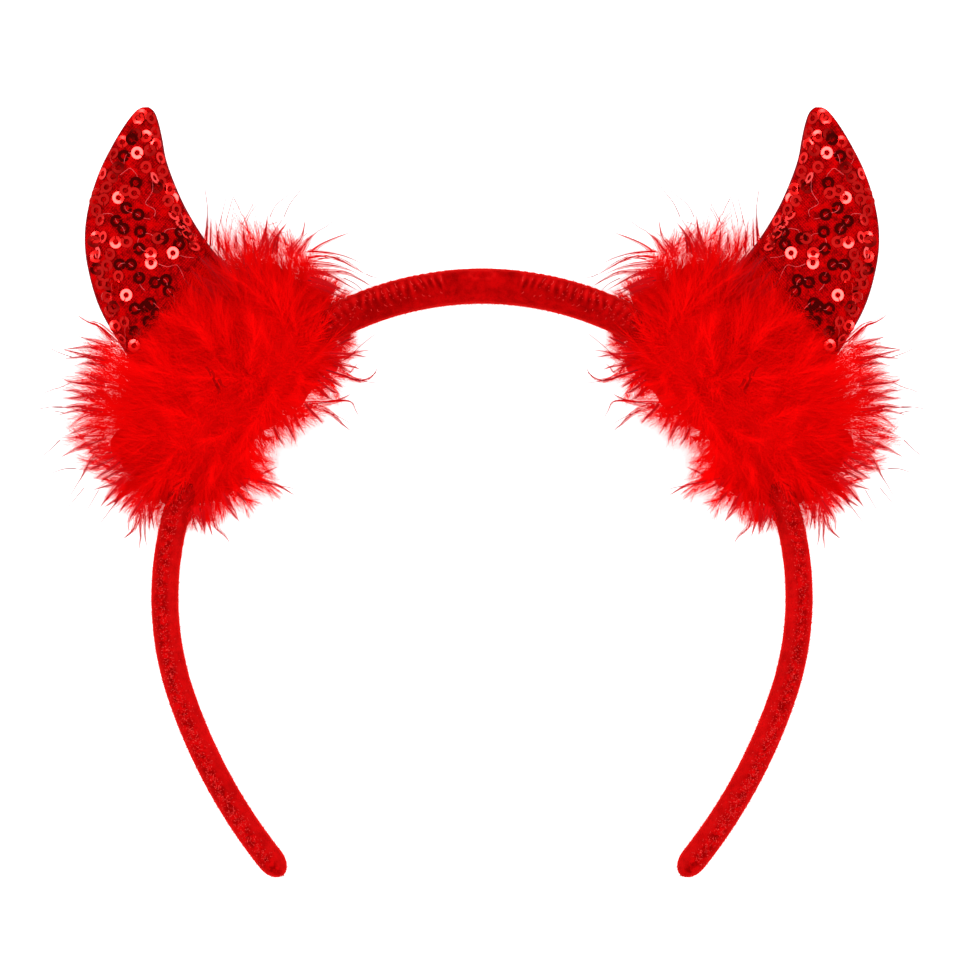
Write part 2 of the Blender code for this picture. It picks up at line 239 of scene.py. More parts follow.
def to_frame(points):
    """Points of the plane of the band, in the frame."""
    return points @ PLANE_ARRAY[:3, :3].T + PLANE_ARRAY[:3, 3]


def height_in_frame(points):
    """How high points of the plane of the band are above the floor."""
    return points @ PLANE_ARRAY[2, :3] + PLANE_ARRAY[2, 3]


def above_floor(points, gap=FLOOR_GAP):
    """Points of the plane of the band, with those nearer to the floor than the gap lifted off it."""
    under = np.minimum(height_in_frame(points) - gap, 0.0)
    return points - under[..., None] * PLANE_ARRAY[2, :3]


# Making pieces


def new_object(name, data):
    """An object in the scene."""
    made = bpy.data.objects.new(name, data)
    bpy.context.scene.collection.objects.link(made)
    return made


def new_piece(name, points, faces, made_of, side=1, uv=None, attributes=(), flat=False):
    """A mesh piece from points in the plane of the band. side -1 mirrors it to the left half.

    faces is an array of triangles or of quads. uv is a (u, v) for each point, under the name given
    with it. attributes are (name, value for each point).
    """
    points = np.array(points, float)
    faces = np.array(faces, int)
    if side < 0:
        points = points * (-1.0, 1.0, 1.0)
        faces = faces[:, ::-1]
    mesh = bpy.data.meshes.new(name)
    mesh.vertices.add(len(points))
    mesh.vertices.foreach_set("co", to_frame(points).astype(np.float32).ravel())
    corners = faces.shape[1]
    mesh.loops.add(faces.size)
    mesh.loops.foreach_set("vertex_index", faces.astype(np.int32).ravel())
    mesh.polygons.add(len(faces))
    mesh.polygons.foreach_set("loop_start", np.arange(0, faces.size, corners, dtype=np.int32))
    mesh.update(calc_edges=True)
    mesh.polygons.foreach_set("use_smooth", np.full(len(faces), not flat))
    if uv:
        layer = mesh.uv_layers.new(name=uv[0])
        layer.data.foreach_set("uv", np.array(uv[1], np.float32)[faces.ravel()].ravel())
    for label, values in attributes:
        made = mesh.attributes.new(label, "FLOAT", "POINT")
        made.data.foreach_set("value", np.array(values, np.float32))
    mesh.materials.append(made_of)
    piece = new_object(name, mesh)
    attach(piece, "root")
    return piece


def grid_faces(rows, columns, around=False):
    """Quads of a grid of points, row after row. With around, the last column meets the first."""
    row, column = np.meshgrid(
        np.arange(rows - 1), np.arange(columns if around else columns - 1), indexing="ij"
    )
    here = (row * columns + column).ravel()
    beside = (row * columns + (column + 1) % columns).ravel()
    return np.stack([here, beside, beside + columns, here + columns], -1)


def tube(points):
    """(points, faces, numbers of the points round both ends) of a tube, from its rings."""
    rows, columns = points.shape[:2]
    ends = np.arange(columns)[::-1], (rows - 1) * columns + np.arange(columns)
    return points.reshape(-1, 3), grid_faces(rows, columns, around=True), ends


def bell(value, middle, width):
    """1 at the middle, falling smoothly to both sides."""
    return np.exp(-(((value - middle) / width) ** 2))


def value_noise(x, y, seed, cells=64):
    """Smooth noise from -1 to 1 at these places, one lattice cell to each whole number."""
    lattice = np.random.default_rng(seed).uniform(-1, 1, (cells, cells))
    low_x, low_y = np.floor(x).astype(int), np.floor(y).astype(int)
    share_x, share_y = (v * v * (3 - 2 * v) for v in (x - low_x, y - low_y))
    corner = [lattice[(low_x + i) % cells, (low_y + k) % cells] for i in (0, 1) for k in (0, 1)]
    low = corner[0] + (corner[1] - corner[0]) * share_y
    high = corner[2] + (corner[3] - corner[2]) * share_y
    return low + (high - low) * share_x


def ribbons(paths, widths, facing=UPWARDS):
    """Tapered ribbons of triangles along the paths, each ending in a point.

    paths is (strands, steps, 3), widths (strands, steps), and facing the direction that the flat
    side looks in, or one for each strand and step. Returns points, triangles and each point's share
    of the steps.
    """
    strands, steps, _ = paths.shape
    along = unit(np.gradient(paths, axis=1))
    side = unit(np.cross(along, facing)) * (widths / 2)[..., None]
    body = np.stack([paths[:, :-1] - side[:, :-1], paths[:, :-1] + side[:, :-1]], 2)
    points = np.concatenate([body.reshape(strands, -1, 3), paths[:, -1:]], 1)
    each = 2 * (steps - 1) + 1
    pattern = []
    for k in range(steps - 2):
        pattern += [(2 * k, 2 * k + 1, 2 * k + 3), (2 * k, 2 * k + 3, 2 * k + 2)]
    pattern.append((2 * steps - 4, 2 * steps - 3, 2 * steps - 2))
    faces = (np.arange(strands)[:, None, None] * each + np.array(pattern)).reshape(-1, 3)
    share = np.append(np.repeat(np.arange(steps - 1), 2), steps - 1) / (steps - 1)
    return points.reshape(-1, 3), faces, np.tile(share, strands)


def lengths_along(route):
    """The length of the route up to each of its points."""
    return np.append(0, np.cumsum(np.linalg.norm(np.diff(route, axis=0), axis=1)))


def on_route(route, lengths):
    """The (x, y) of the route at these lengths along it."""
    known = lengths_along(route)
    return np.stack([np.interp(lengths, known, route[:, k]) for k in (0, 1)], -1)


def photo_route(pixels, height, steps):
    """A smooth route through these pixels of the left half, which are x, y, x, y and so on."""
    return spline(from_photo(np.reshape(pixels, (-1, 2)), height), steps)


def spline(points, steps):
    """Points on a Catmull-Rom curve through the given ones."""
    points = np.array(points, float)
    ends = np.concatenate([points[:1], points, points[-1:]])
    made = []
    for p, q, r, s in zip(ends, ends[1:], ends[2:], ends[3:]):
        for t in np.arange(steps) / steps:
            made.append(
                0.5
                * (
                    2 * q
                    + (r - p) * t
                    + (2 * p - 5 * q + 4 * r - s) * t**2
                    + (3 * q - p - 3 * r + s) * t**3
                )
            )
    made.append(points[-1])
    return np.array(made)


# Materials


def node(tree, kind, inputs=(), **settings):
    """Adds a node. inputs are (name or number, value or the output that feeds it)."""
    made = tree.nodes.new(kind)
    for name, value in settings.items():
        setattr(made, name, value)
    for name, value in inputs:
        if isinstance(value, bpy.types.NodeSocket):
            tree.links.new(value, made.inputs[name])
        else:
            made.inputs[name].default_value = value
    return made


def new_material(name, shader_inputs=()):
    """(material, its node tree, its Principled node)."""
    made = bpy.data.materials.new(name)
    made.use_nodes = True
    shader = made.node_tree.nodes["Principled BSDF"]
    for label, value in shader_inputs:
        shader.inputs[label].default_value = value
    return made, made.node_tree, shader


def rgba(red, green, blue):
    """A colour for a socket."""
    return (red, green, blue, 1.0)


def calculated(tree, operation, first, second=0.0, third=0.0):
    """The output of a Math node."""
    inputs = ((0, first), (1, second), (2, third))
    return node(tree, "ShaderNodeMath", inputs, operation=operation).outputs[0]


def mixed_colour(tree, share, first, second):
    """The output of a colour mix: the first at 0, the second at 1."""
    made = node(tree, "ShaderNodeMix", data_type="RGBA")
    for name, value in (("Factor", share), ("A", first), ("B", second)):
        socket = next(s for s in made.inputs if s.name == name and s.enabled)
        if isinstance(value, bpy.types.NodeSocket):
            tree.links.new(value, socket)
        else:
            socket.default_value = value
    return next(s for s in made.outputs if s.enabled)


def noise(tree, place, scale, detail=2.0, roughness=0.5):
    """The output of a Noise node with its middle near 0.5."""
    inputs = (("Vector", place), ("Scale", scale), ("Detail", detail), ("Roughness", roughness))
    return node(tree, "ShaderNodeTexNoise", inputs).outputs[0]


def ranged(tree, value, low, high, to_low=0.0, to_high=1.0):
    """The value carried from one range to another, clamped."""
    inputs = ((0, value), (1, low), (2, high), (3, to_low), (4, to_high))
    return node(tree, "ShaderNodeMapRange", inputs).outputs[0]


def object_place(tree):
    """Places in the space of the piece."""
    return node(tree, "ShaderNodeTexCoord").outputs["Object"]


def point_mark(tree, name):
    """The values that a piece's points have under this name."""
    return node(tree, "ShaderNodeAttribute", attribute_name=name).outputs["Fac"]


def toned(tree, shader, colour, tone):
    """Feeds the colour times the tone into the shader, and returns it."""
    scaled = node(tree, "ShaderNodeVectorMath", ((0, colour),), operation="SCALE")
    tree.links.new(tone, scaled.inputs["Scale"])
    tree.links.new(scaled.outputs[0], shader.inputs["Base Color"])
    return scaled.outputs[0]


def roughened(tree, shader, height, strength, distance):
    """Gives the shader bumps of this height."""
    inputs = (("Strength", strength), ("Distance", distance), ("Height", height))
    tree.links.new(node(tree, "ShaderNodeBump", inputs).outputs[0], shader.inputs["Normal"])


def velvet_material():
    """Short red pile, with painted shade in the gathers, painted highlights on the puffs between them,
    and painted sheen on the sides of the legs and where it is seen edge on.
    """
    made, tree, shader = new_material(
        "velvet",
        (
            ("Roughness", 0.9),
            ("Specular IOR Level", 0.0),
            ("Sheen Weight", 0.3),
            ("Sheen Roughness", 0.35),
            ("Sheen Tint", rgba(1.0, 0.06, 0.06)),
        ),
    )
    place = object_place(tree)
    seam = point_mark(tree, "seam")
    fold = point_mark(tree, "fold")
    pile = noise(tree, place, 2600.0, 3.0, 0.6)
    patches = noise(tree, place, 620.0, 2.0, 0.5)
    nap = noise(tree, place, 90.0, 2.0, 0.5)
    brushed = calculated(tree, "MULTIPLY_ADD", patches, 0.9, nap)
    fuzz = calculated(tree, "MULTIPLY_ADD", pile, 0.5, brushed)
    plain = mixed_colour(
        tree, ranged(tree, fuzz, 0.95, 1.45), rgba(0.26, 0.0004, 0.0006), rgba(0.45, 0.001, 0.0015)
    )
    speckle = calculated(tree, "MULTIPLY_ADD", patches, 1.6, pile)
    speckled = mixed_colour(
        tree, ranged(tree, speckle, 1.1, 1.5), rgba(0.22, 0.0003, 0.0005), rgba(0.56, 0.0015, 0.002)
    )
    mottled = mixed_colour(tree, seam, plain, speckled)
    # Painted highlight where the fold mark is below 0: the puffs, the small loop and the sides of the
    # legs.
    painted_puff_highlight = mixed_colour(
        tree, ranged(tree, fold, -1.0, 0.0, 0.85, 0.0), mottled, rgba(0.66, 0.006, 0.006)
    )
    # Painted shade where the fold mark is above 0.
    shaded = mixed_colour(tree, fold, painted_puff_highlight, rgba(0.2, 0.0003, 0.0006))
    # Painted sheen: a paler, more orange colour where the pile is seen edge on.
    facing = node(tree, "ShaderNodeLayerWeight", (("Blend", 0.5),)).outputs["Facing"]
    rim = ranged(tree, facing, 0.45, 0.9, 0.0, 0.8)
    with_painted_sheen = mixed_colour(tree, rim, shaded, rgba(0.66, 0.007, 0.004))
    tree.links.new(with_painted_sheen, shader.inputs["Base Color"])
    height = calculated(tree, "MULTIPLY_ADD", patches, seam, pile)
    roughened(tree, shader, height, 0.55, 0.00018)
    return made


def fibre_material(name, roughness, specular, scale, low, high):
    """Fine fibres, a little uneven in their colour. scale is that of the unevenness."""
    made, tree, shader = new_material(
        name, (("Roughness", roughness), ("Specular IOR Level", specular))
    )
    tone = ranged(tree, noise(tree, object_place(tree), scale), 0.35, 0.65)
    colour = mixed_colour(tree, tone, rgba(*low), rgba(*high))
    tree.links.new(colour, shader.inputs["Base Color"])
    return made


def knit_material():
    """The dark red net that the sequins are sewn to, in loops a little over half a millimetre, with
    painted light: paler on the loops' tops and darker between them.
    """
    made, tree, shader = new_material(
        "sequined_knit",
        (("Roughness", 0.6), ("Specular IOR Level", 0.0)),
    )
    uv = node(tree, "ShaderNodeUVMap", uv_map="knit").outputs[0]
    split = node(tree, "ShaderNodeSeparateXYZ", ((0, uv),))
    course = calculated(tree, "MULTIPLY", split.outputs[1], 2 * math.pi / KNIT_COURSE)
    wale = calculated(tree, "MULTIPLY", split.outputs[0], 2 * math.pi / KNIT_WALE)
    wave = calculated(tree, "SINE", wale)
    shifted = calculated(tree, "MULTIPLY_ADD", wave, 0.9, course)
    rows = calculated(tree, "SINE", shifted)
    columns = calculated(tree, "COSINE", wale)
    loops = calculated(tree, "MULTIPLY_ADD", columns, 0.45, rows)
    fine = noise(tree, uv, 2.4, 2.0, 0.6)
    broad = noise(tree, uv, 0.34, 3.0, 0.6)
    height = calculated(tree, "MULTIPLY_ADD", fine, 2.4, loops)
    # Painted light on the loops: paler where they stand high, painted shade between them.
    lit = ranged(tree, height, -0.4, 2.8)
    painted_loop_light = mixed_colour(tree, lit, rgba(0.2, 0.0003, 0.0008), rgba(0.68, 0.0014, 0.0028))
    specks = noise(tree, uv, 0.8, 3.0, 0.65)
    specked = mixed_colour(
        tree, ranged(tree, specks, 0.46, 0.6, 0.0, 0.8), painted_loop_light, rgba(0.14, 0.0002, 0.0005)
    )
    in_patches = mixed_colour(
        tree, ranged(tree, broad, 0.5, 0.64, 0.0, 0.6), specked, rgba(0.74, 0.0006, 0.001)
    )
    edge = point_mark(tree, "edge")
    colour = mixed_colour(tree, edge, in_patches, rgba(0.13, 0.012, 0.016))
    tree.links.new(colour, shader.inputs["Base Color"])
    roughened(tree, shader, height, 0.7, 0.00012)
    return made


def felt_material():
    """The felt of the horns' backing: matted fibres."""
    made, tree, shader = new_material(
        "horn_felt", (("Roughness", 0.95), ("Sheen Weight", 0.4), ("Sheen Roughness", 0.5))
    )
    place = object_place(tree)
    stretched = node(tree, "ShaderNodeMapping", (("Vector", place), ("Scale", (1.0, 0.35, 1.0))))
    fibres = noise(tree, stretched.outputs[0], 1900.0, 4.0, 0.7)
    clouds = noise(tree, place, 160.0, 2.0, 0.5)
    tone = calculated(tree, "MULTIPLY_ADD", clouds, 0.6, fibres)
    colour = mixed_colour(
        tree, ranged(tree, tone, 0.55, 1.05), rgba(0.33, 0.002, 0.004), rgba(0.52, 0.005, 0.008)
    )
    tree.links.new(colour, shader.inputs["Base Color"])
    roughened(tree, shader, fibres, 0.6, 0.0002)
    return made


def sequin_material():
    """Red mirrored film, scuffed, with its brightness painted by how each kind of sequin catches the
    light, and scattered a little from sequin to sequin.
    """
    made, tree, shader = new_material("sequin_film", (("Metallic", 1.0), ("Roughness", 0.08)))
    place = object_place(tree)
    scuffs = noise(tree, place, 2200.0, 2.0, 0.5)
    tone = point_mark(tree, "tone")
    film = mixed_colour(
        tree, ranged(tree, scuffs, 0.3, 0.7), rgba(0.66, 0.0105, 0.0095), rgba(0.78, 0.0125, 0.011)
    )
    # Painted light: the film's brightness by kind of sequin, from the tone mark.
    toned(tree, shader, film, tone)
    return made


def down_material(name, deep, tip):
    """Feather down that lets light through. The map's u is the fibre's tone, v its length share."""
    made, tree, shader = new_material(name, (("Roughness", 0.8), ("Specular IOR Level", 0.02)))
    uv = node(tree, "ShaderNodeUVMap", uv_map="OFBake").outputs[0]
    split = node(tree, "ShaderNodeSeparateXYZ", ((0, uv),))
    length = ranged(tree, split.outputs[1], 0.0, 0.8)
    ramp = mixed_colour(tree, length, rgba(*deep), rgba(*tip))
    tone = ranged(tree, split.outputs[0], 0.0, 1.0, 0.88, 1.03)
    colour = toned(tree, shader, ramp, tone)
    through = node(tree, "ShaderNodeBsdfTranslucent", (("Color", colour),))
    share = node(
        tree, "ShaderNodeMixShader", ((0, 0.5), (1, shader.outputs[0]), (2, through.outputs[0]))
    )
    output = tree.nodes["Material Output"]
    tree.links.new(share.outputs[0], output.inputs["Surface"])
    return made


# Band


# Relief of the velvet. Widths across are shares of half the thickness.
GATHER_WANDER = (0.45, 3.4 * MM)  # pitches that the gathers wander by, and over what length
GATHER_STRENGTH = (0.62, 0.38)  # its mean and how far it varies
HOLLOW_WANDER = 0.22
# Places in the noise: factor of the gather's number, if it counts, factor across, and offset.
WANDER_PLACE = (1.3, 5.0)
STRENGTH_PLACE = (0.73, 2.5, 7.0)
HOLLOW_PLACE = (0.61, 0.0, 0.3)
PUFF_HALF_WIDTH = 0.34
FINE_GRAIN = (0.75 * MM, 6.0, 0.1)  # length of a grain, grains across, height in mm
COARSE_GRAIN = (1.5 * MM, 3.0, 0.09)
PLAIN_GRAIN = 0.12  # share of the grain's height that is left beside the seam of the legs
RIM_DEPTH = 0.2 * MM  # of the scallops at the outer rim
RIM_HALF_WIDTH = 0.3
LOOP_MIDDLE = 0.6  # share across of the small oval loop at the middle of the crown
LOOP_HALF_SIZE = (2.7 * MM, 0.24)
LOOP_LINE = 0.16
LOOP_HEIGHT = 0.1 * MM
LOOP_END = 4 * MM
GROOVE = (-0.42, 0.1)  # middle and width of the groove along the seam, from its middle
RIDGE = (0.78, 0.16)
RIDGE_HEIGHT = 0.12 * MM
SEAM_LINE = (-0.24, 0.09)  # line along the plain side
STREAK = (-0.3, 0.14)
PLAIN_EDGE = (6.4 * MM, 1.6 * MM)  # painted shade of the fold where the plain crown ends
PLAIN_EDGE_ACROSS = (0.7, 0.2)
GROOVE_NARROWS = 1.7
HOLLOW_NARROWS = 1.4
RIM_NARROWS = 1.5
PUFF_NARROWS = 1.2
SEAM_MARK = (0.75, 0.35, 0.3)  # on the legs, by the coarse grain there, and along the seam line
LINE_MARK = 0.75
FOLD_MARK = (0.25, 1.3, 0.3, 0.4, 0.95)  # in the fold mark: painted shade in the groove and hollow, the streak, painted shade at the plain edge, and all of them
LEG_PUFF = (0.34, 0.16, 1.5)  # painted sheen on the sides of the legs, by the coarse grain, and how it ends
SIDES_BEGIN = (0.0, 0.4)
# Painted highlight on the small loop.
LOOP_PUFF = 0.45
TIP_SMALLEST = 0.02  # share of its size that the band keeps at its very ends
FRONT_BEGINS = (-0.1, 0.45)  # sines of the turn round the band


def gathers_at(length, across):
    """(puff, strength, hollow) at these places.

    puff is 1 on the puffs between the gathers and 0 in them, strength is how strong each gather is,
    and hollow is the share across at the middle of its hollow.
    """
    amount, wander_length = GATHER_WANDER
    factor, offset = WANDER_PLACE
    wander = value_noise(length / wander_length, across * factor + offset, SEEDS["wander"])
    wander = amount * wander
    phase = length / GATHER_PITCH + wander - GATHER_SLANT * (across - SEAM_ACROSS)
    number = np.floor(phase)
    strength, off_middle = (
        value_noise(number * by_number, across * factor + offset, SEEDS[name])
        for (by_number, factor, offset), name in (
            (STRENGTH_PLACE, "strength"),
            (HOLLOW_PLACE, "hollows"),
        )
    )
    mean, varies = GATHER_STRENGTH
    hollow = HOLLOW_ACROSS + HOLLOW_WANDER * off_middle
    return 0.5 - 0.5 * np.cos(2 * math.pi * phase), mean + varies * strength, hollow


def band_relief(length, across, front):
    """(height, seam, fold) of the velvet at these lengths and shares across.

    front is 0 on the back of the band and 1 on its front. seam marks the pile beside the seam. fold
    is 1 for painted shade at the bottoms of the gathers, and -1 for painted highlights on the puffs
    between them.
    """
    angle = np.degrees(band_angle(length))
    legs = smooth_step(*GATHERS_END, angle)
    beside = np.abs(across - SEAM_ACROSS) / SEAM_HALF_WIDTH
    zone = np.clip(1.0 - beside**2, 0.0, 1.0) * front
    gathered = smooth_step(*PLAIN_CROWN, length) * (1.0 - legs)
    gather, strength, middle = gathers_at(length, across)
    groove = (1.0 - gather) ** GROOVE_NARROWS * zone * gathered * strength
    hollow = np.clip(1.0 - ((across - middle) / HOLLOW_HALF_WIDTH) ** 2, 0.0, 1.0) * front
    hollow = hollow * (1.0 - gather) ** HOLLOW_NARROWS * gathered * strength
    fine, coarse = (
        value_noise(length / size, across * count, SEEDS[name])
        for (size, count, _), name in ((FINE_GRAIN, "fine"), (COARSE_GRAIN, "coarse"))
    )
    ring = np.hypot(length / LOOP_HALF_SIZE[0], (across - LOOP_MIDDLE) / LOOP_HALF_SIZE[1])
    loop = bell(ring, 1.0, LOOP_LINE) * front * (length < LOOP_END)

    height = -GATHER_DEPTH * (groove + 0.5 * hollow)
    rim = bell(across, 1.0, RIM_HALF_WIDTH) * gathered
    height = height - RIM_DEPTH * (1.0 - gather) ** RIM_NARROWS * rim * strength
    height = height + LOOP_HEIGHT * loop
    height = height - SEAM_DEPTH * bell(across - SEAM_ACROSS, *GROOVE) * front
    height = height + RIDGE_HEIGHT * bell(across, *RIDGE) * front * gathered
    grain = FINE_GRAIN[2] * fine + COARSE_GRAIN[2] * coarse
    height = height + grain * MM * (PLAIN_GRAIN + (1 - PLAIN_GRAIN) * zone * legs)

    line = bell(across, *SEAM_LINE) * front * (1.0 - legs) * LINE_MARK
    on_legs, mottling, on_line = SEAM_MARK
    seam = zone * legs * (on_legs + mottling * coarse) + on_line * line
    # The fold mark: painted shade at the bottoms of the gathers, in the hollows and at the plain edge's
    # fold, and the darker streak along the plain side.
    in_groove, in_hollow, in_streak, at_edge, whole = FOLD_MARK
    streak = bell(across, *STREAK) * front * (1.0 - legs) * in_streak
    edge = bell(length, *PLAIN_EDGE) * bell(across, *PLAIN_EDGE_ACROSS) * at_edge
    fold = in_groove * groove + in_hollow * hollow + streak + edge * front
    fold = np.clip(fold, 0, 1) * whole
    # Painted highlights on the puffs and the small loop, and painted sheen on the sides of the legs.
    painted_highlight = gather**PUFF_NARROWS * bell(across, PUFF_ACROSS, PUFF_HALF_WIDTH) * front * gathered
    plain, mottling, power = LEG_PUFF
    sides = (plain + mottling * coarse) * legs * (1.0 - zone) ** power
    sides = sides * smooth_step(*SIDES_BEGIN, front)
    painted_highlight = np.maximum(np.maximum(painted_highlight * strength, LOOP_PUFF * loop), sides)
    return height, np.clip(seam, 0, 1), fold - painted_highlight * (1 - fold)


def band_surface(grown=0.0, rings=BAND_RINGS, sides=BAND_SIDES, relief=True):
    """The band from tip to tip, grown by this much, as (points, faces, ends, seam, fold)."""
    straight = BAND_HALF_LENGTH - BAND_TIP_LENGTH
    lengths = np.linspace(0.0, straight, rings)
    scales = np.ones(rings)
    round_tip = np.linspace(0.0, math.pi / 2, TIP_RINGS + 1)[1:]
    lengths = np.append(lengths, straight + BAND_TIP_LENGTH * np.sin(round_tip))
    scales = np.append(scales, np.maximum(np.cos(round_tip), TIP_SMALLEST))
    lengths = np.concatenate([-lengths[:0:-1], lengths])
    scales = np.concatenate([scales[:0:-1], scales])
    turn = 2 * math.pi * (np.arange(sides) + 0.5) / sides
    power = 2 / BAND_SQUARENESS
    across, up = (np.sign(v) * np.abs(v) ** power for v in (np.cos(turn), np.sin(turn)))
    angle = band_angle(np.abs(lengths))
    point, outward = band_point(angle)
    thickness, depth = band_size(angle)
    half = [(size / 2 * scales + grown)[:, None] for size in (thickness, depth)]
    height, seam, fold = 0.0, None, None
    if relief:
        shape = (len(lengths), sides)
        front = np.broadcast_to(smooth_step(*FRONT_BEGINS, np.sin(turn)), shape)
        height, seam, fold = band_relief(
            np.broadcast_to(np.abs(lengths)[:, None], shape),
            np.broadcast_to(across, shape),
            front,
        )
        height = height * scales[:, None]
    points = np.empty((len(lengths), sides, 3))
    points[..., :2] = point[:, None, :2] + outward[:, None, :2] * (
        across * half[0] + height * np.cos(turn)
    )[..., None]
    points[..., 2] = up * half[1] + height * np.sin(turn)
    points[..., 0] *= np.where(lengths < 0, -1.0, 1.0)[:, None]
    return *tube(points), seam, fold


def close_ends(piece, ends):
    """Adds the flat faces at both ends of a tube."""
    shape = bmesh.new()
    shape.from_mesh(piece.data)
    shape.verts.ensure_lookup_table()
    for end in ends:
        shape.faces.new([shape.verts[k] for k in end])
    bmesh.ops.recalc_face_normals(shape, faces=shape.faces)
    shape.to_mesh(piece.data)
    shape.free()


def make_band(velvet, pile, thread):
    """The velvet band, its pile and the stitches along its seam."""
    points, faces, ends, seam, fold = band_surface()
    points = above_floor(points, BAND_FLOOR_GAP)
    band = new_piece(
        "band_velvet",
        points,
        faces,
        velvet,
        attributes=(("seam", seam.ravel()), ("fold", fold.ravel())),
    )
    close_ends(band, ends)
    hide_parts("band")
    make_pile(points, faces, pile)
    make_stitches(thread)


PILE_FIBRES = 12000  # on the right half
PILE_LENGTH = (0.25 * MM, 0.6 * MM)
PILE_WIDTH = 0.11 * MM
PILE_LEAN = 0.45
PILE_ROOT = 0.1  # mm that a fibre starts below the surface


def make_pile(points, faces, made_of):
    """Short fibres that stand out of the velvet and soften its outline."""
    chance = np.random.default_rng(SEEDS["pile"])
    right = faces[points[faces].mean(1)[:, 0] > 0]
    corner = points[right[chance.integers(0, len(right), PILE_FIBRES)]]
    share = chance.uniform(0, 1, (PILE_FIBRES, 2, 1))
    low = corner[:, 0] + (corner[:, 1] - corner[:, 0]) * share[:, 0]
    high = corner[:, 3] + (corner[:, 2] - corner[:, 3]) * share[:, 0]
    root = low + (high - low) * share[:, 1]
    normal = unit(np.cross(corner[:, 1] - corner[:, 0], corner[:, 3] - corner[:, 0]))
    lean = chance.normal(0, PILE_LEAN, (PILE_FIBRES, 3))
    direction = unit(normal + lean)
    length = chance.uniform(*PILE_LENGTH, PILE_FIBRES)[:, None]
    tip = root + direction * length
    across = unit(np.cross(direction, chance.normal(0, 1, (PILE_FIBRES, 3)))) * PILE_WIDTH / 2
    root = root - direction * PILE_ROOT * MM
    made = np.stack([root - across, root + across, tip], 1).reshape(-1, 3)
    made = above_floor(made, BAND_FLOOR_GAP)
    triangles = np.arange(len(made)).reshape(-1, 3)
    for side, label in SIDES:
        new_piece(f"band_pile_{label}", made, triangles, made_of, side)


ON_BAND_REACH = 0.999  # furthest share across that has a front
STITCH_WIDTH = 0.11 * MM
STITCH_ENDS = ((-0.38, -0.2), (0.42, 0.74))  # shares across of the two rows of stitches: thread, partly painted highlight on the puffs
# What a stitch varies by, in pitches along the band or shares across it.
STITCH_SLANT = (-0.15, 0.3)
STITCH_SHIFT = (-0.3, 0.3)
STITCH_BOW = (-0.1, 0.22)
STITCH_SIZE = (0.35, 1.0)
STITCH_RAISE = (-0.12, 0.16)
STITCH_LIFT = (0.02, 0.14)  # mm off the velvet at its ends, and more at its middle
STITCH_POINTS = 6
GLINTS = 1500  # painted glints: short bright fibres in the pile of one half
GLINT_LENGTH = (0.14 * MM, 0.34 * MM)
GLINT_CROWDING = 0.6  # under 1, so that more of them lie towards the tips
GLINT_SCATTER = 0.3
GLINT_ACROSS = (-0.8, 0.95)
GLINT_LIFT = 0.1 * MM
GLINT_HALF_BAND = 3 * MM  # for places across, which are shares of it


def on_band(length, across, lift):
    """Points on the front of the band at these lengths and shares across, lifted off the velvet."""
    length, across = np.asarray(length, float), np.asarray(across, float)
    angle = band_angle(length)
    point, outward = band_point(angle)
    thickness, depth = band_size(angle)
    up = (1 - np.clip(np.abs(across), 0, ON_BAND_REACH) ** BAND_SQUARENESS) ** (1 / BAND_SQUARENESS)
    height = band_relief(length, across, np.ones_like(across))[0]
    made = point + outward * (across * (thickness / 2 + height))[..., None]
    made[..., 2] = up * depth / 2 + height * up + lift
    return made


def make_stitches(thread):
    """Thread across the gathers, partly painted highlight on the puffs, and painted glints of it as short
    bright fibres in the pile.
    """
    chance = np.random.default_rng(SEEDS["stitches"])
    straight = BAND_HALF_LENGTH - BAND_TIP_LENGTH
    gathers_end = np.radians(GATHERS_END[1]) * BAND_ARCS[0][0] * MM
    starts = np.arange(PLAIN_CROWN[1], gathers_end, GATHER_PITCH)
    paths = []
    shares = np.linspace(0, 1, STITCH_POINTS)
    for start in starts:
        for low, high in STITCH_ENDS:
            slant = GATHER_PITCH * (GATHER_SLANT * (high - low) + chance.uniform(*STITCH_SLANT))
            begin = start + chance.uniform(*STITCH_SHIFT) * GATHER_PITCH
            bow = GATHER_PITCH * chance.uniform(*STITCH_BOW) * np.sin(math.pi * shares)
            size = chance.uniform(*STITCH_SIZE)
            places = low + (high - low) * shares * size + chance.uniform(*STITCH_RAISE)
            lift = (STITCH_LIFT[0] + STITCH_LIFT[1] * np.sin(math.pi * shares)) * MM
            paths.append(on_band(begin + slant * size * shares + bow, places, lift))
    count = GLINTS
    along = chance.uniform(0, 1, count) ** GLINT_CROWDING
    begin = PLAIN_CROWN[1] + (straight - PLAIN_CROWN[1]) * along
    across = SEAM_ACROSS + chance.normal(0, GLINT_SCATTER, count)
    turn = chance.uniform(0, 2 * math.pi, count)
    size = chance.uniform(*GLINT_LENGTH, count)
    shares = np.linspace(-0.5, 0.5, STITCH_POINTS)
    glint_length = begin[:, None] + (size * np.cos(turn))[:, None] * shares
    glint_across = across[:, None] + (size * np.sin(turn))[:, None] * shares / GLINT_HALF_BAND
    glints = on_band(glint_length, np.clip(glint_across, *GLINT_ACROSS), GLINT_LIFT)
    paths = np.concatenate([np.array(paths), glints])
    widths = np.full(paths.shape[:2], STITCH_WIDTH)
    points, faces, _ = ribbons(paths, widths)
    for side, label in SIDES:
        new_piece(f"band_stitches_and_glints_{label}", points, faces, thread, side)


# Horns


KNIT_COURSE = 0.5  # mm from one row of loops to the next
KNIT_WALE = 0.62
HORN_EDGE_MARK = (0.05 * MM, 0.4 * MM)  # from the rim, over which the dark edge ends
HORN_BACKING_RIM = 0.35 * MM
HORN_LEAST_HALF = 0.1 * MM
CUTTER_GRID = (120, 24)  # rings to a side and points round the band that the horns are cut with
OUTLINE_STEPS = 24


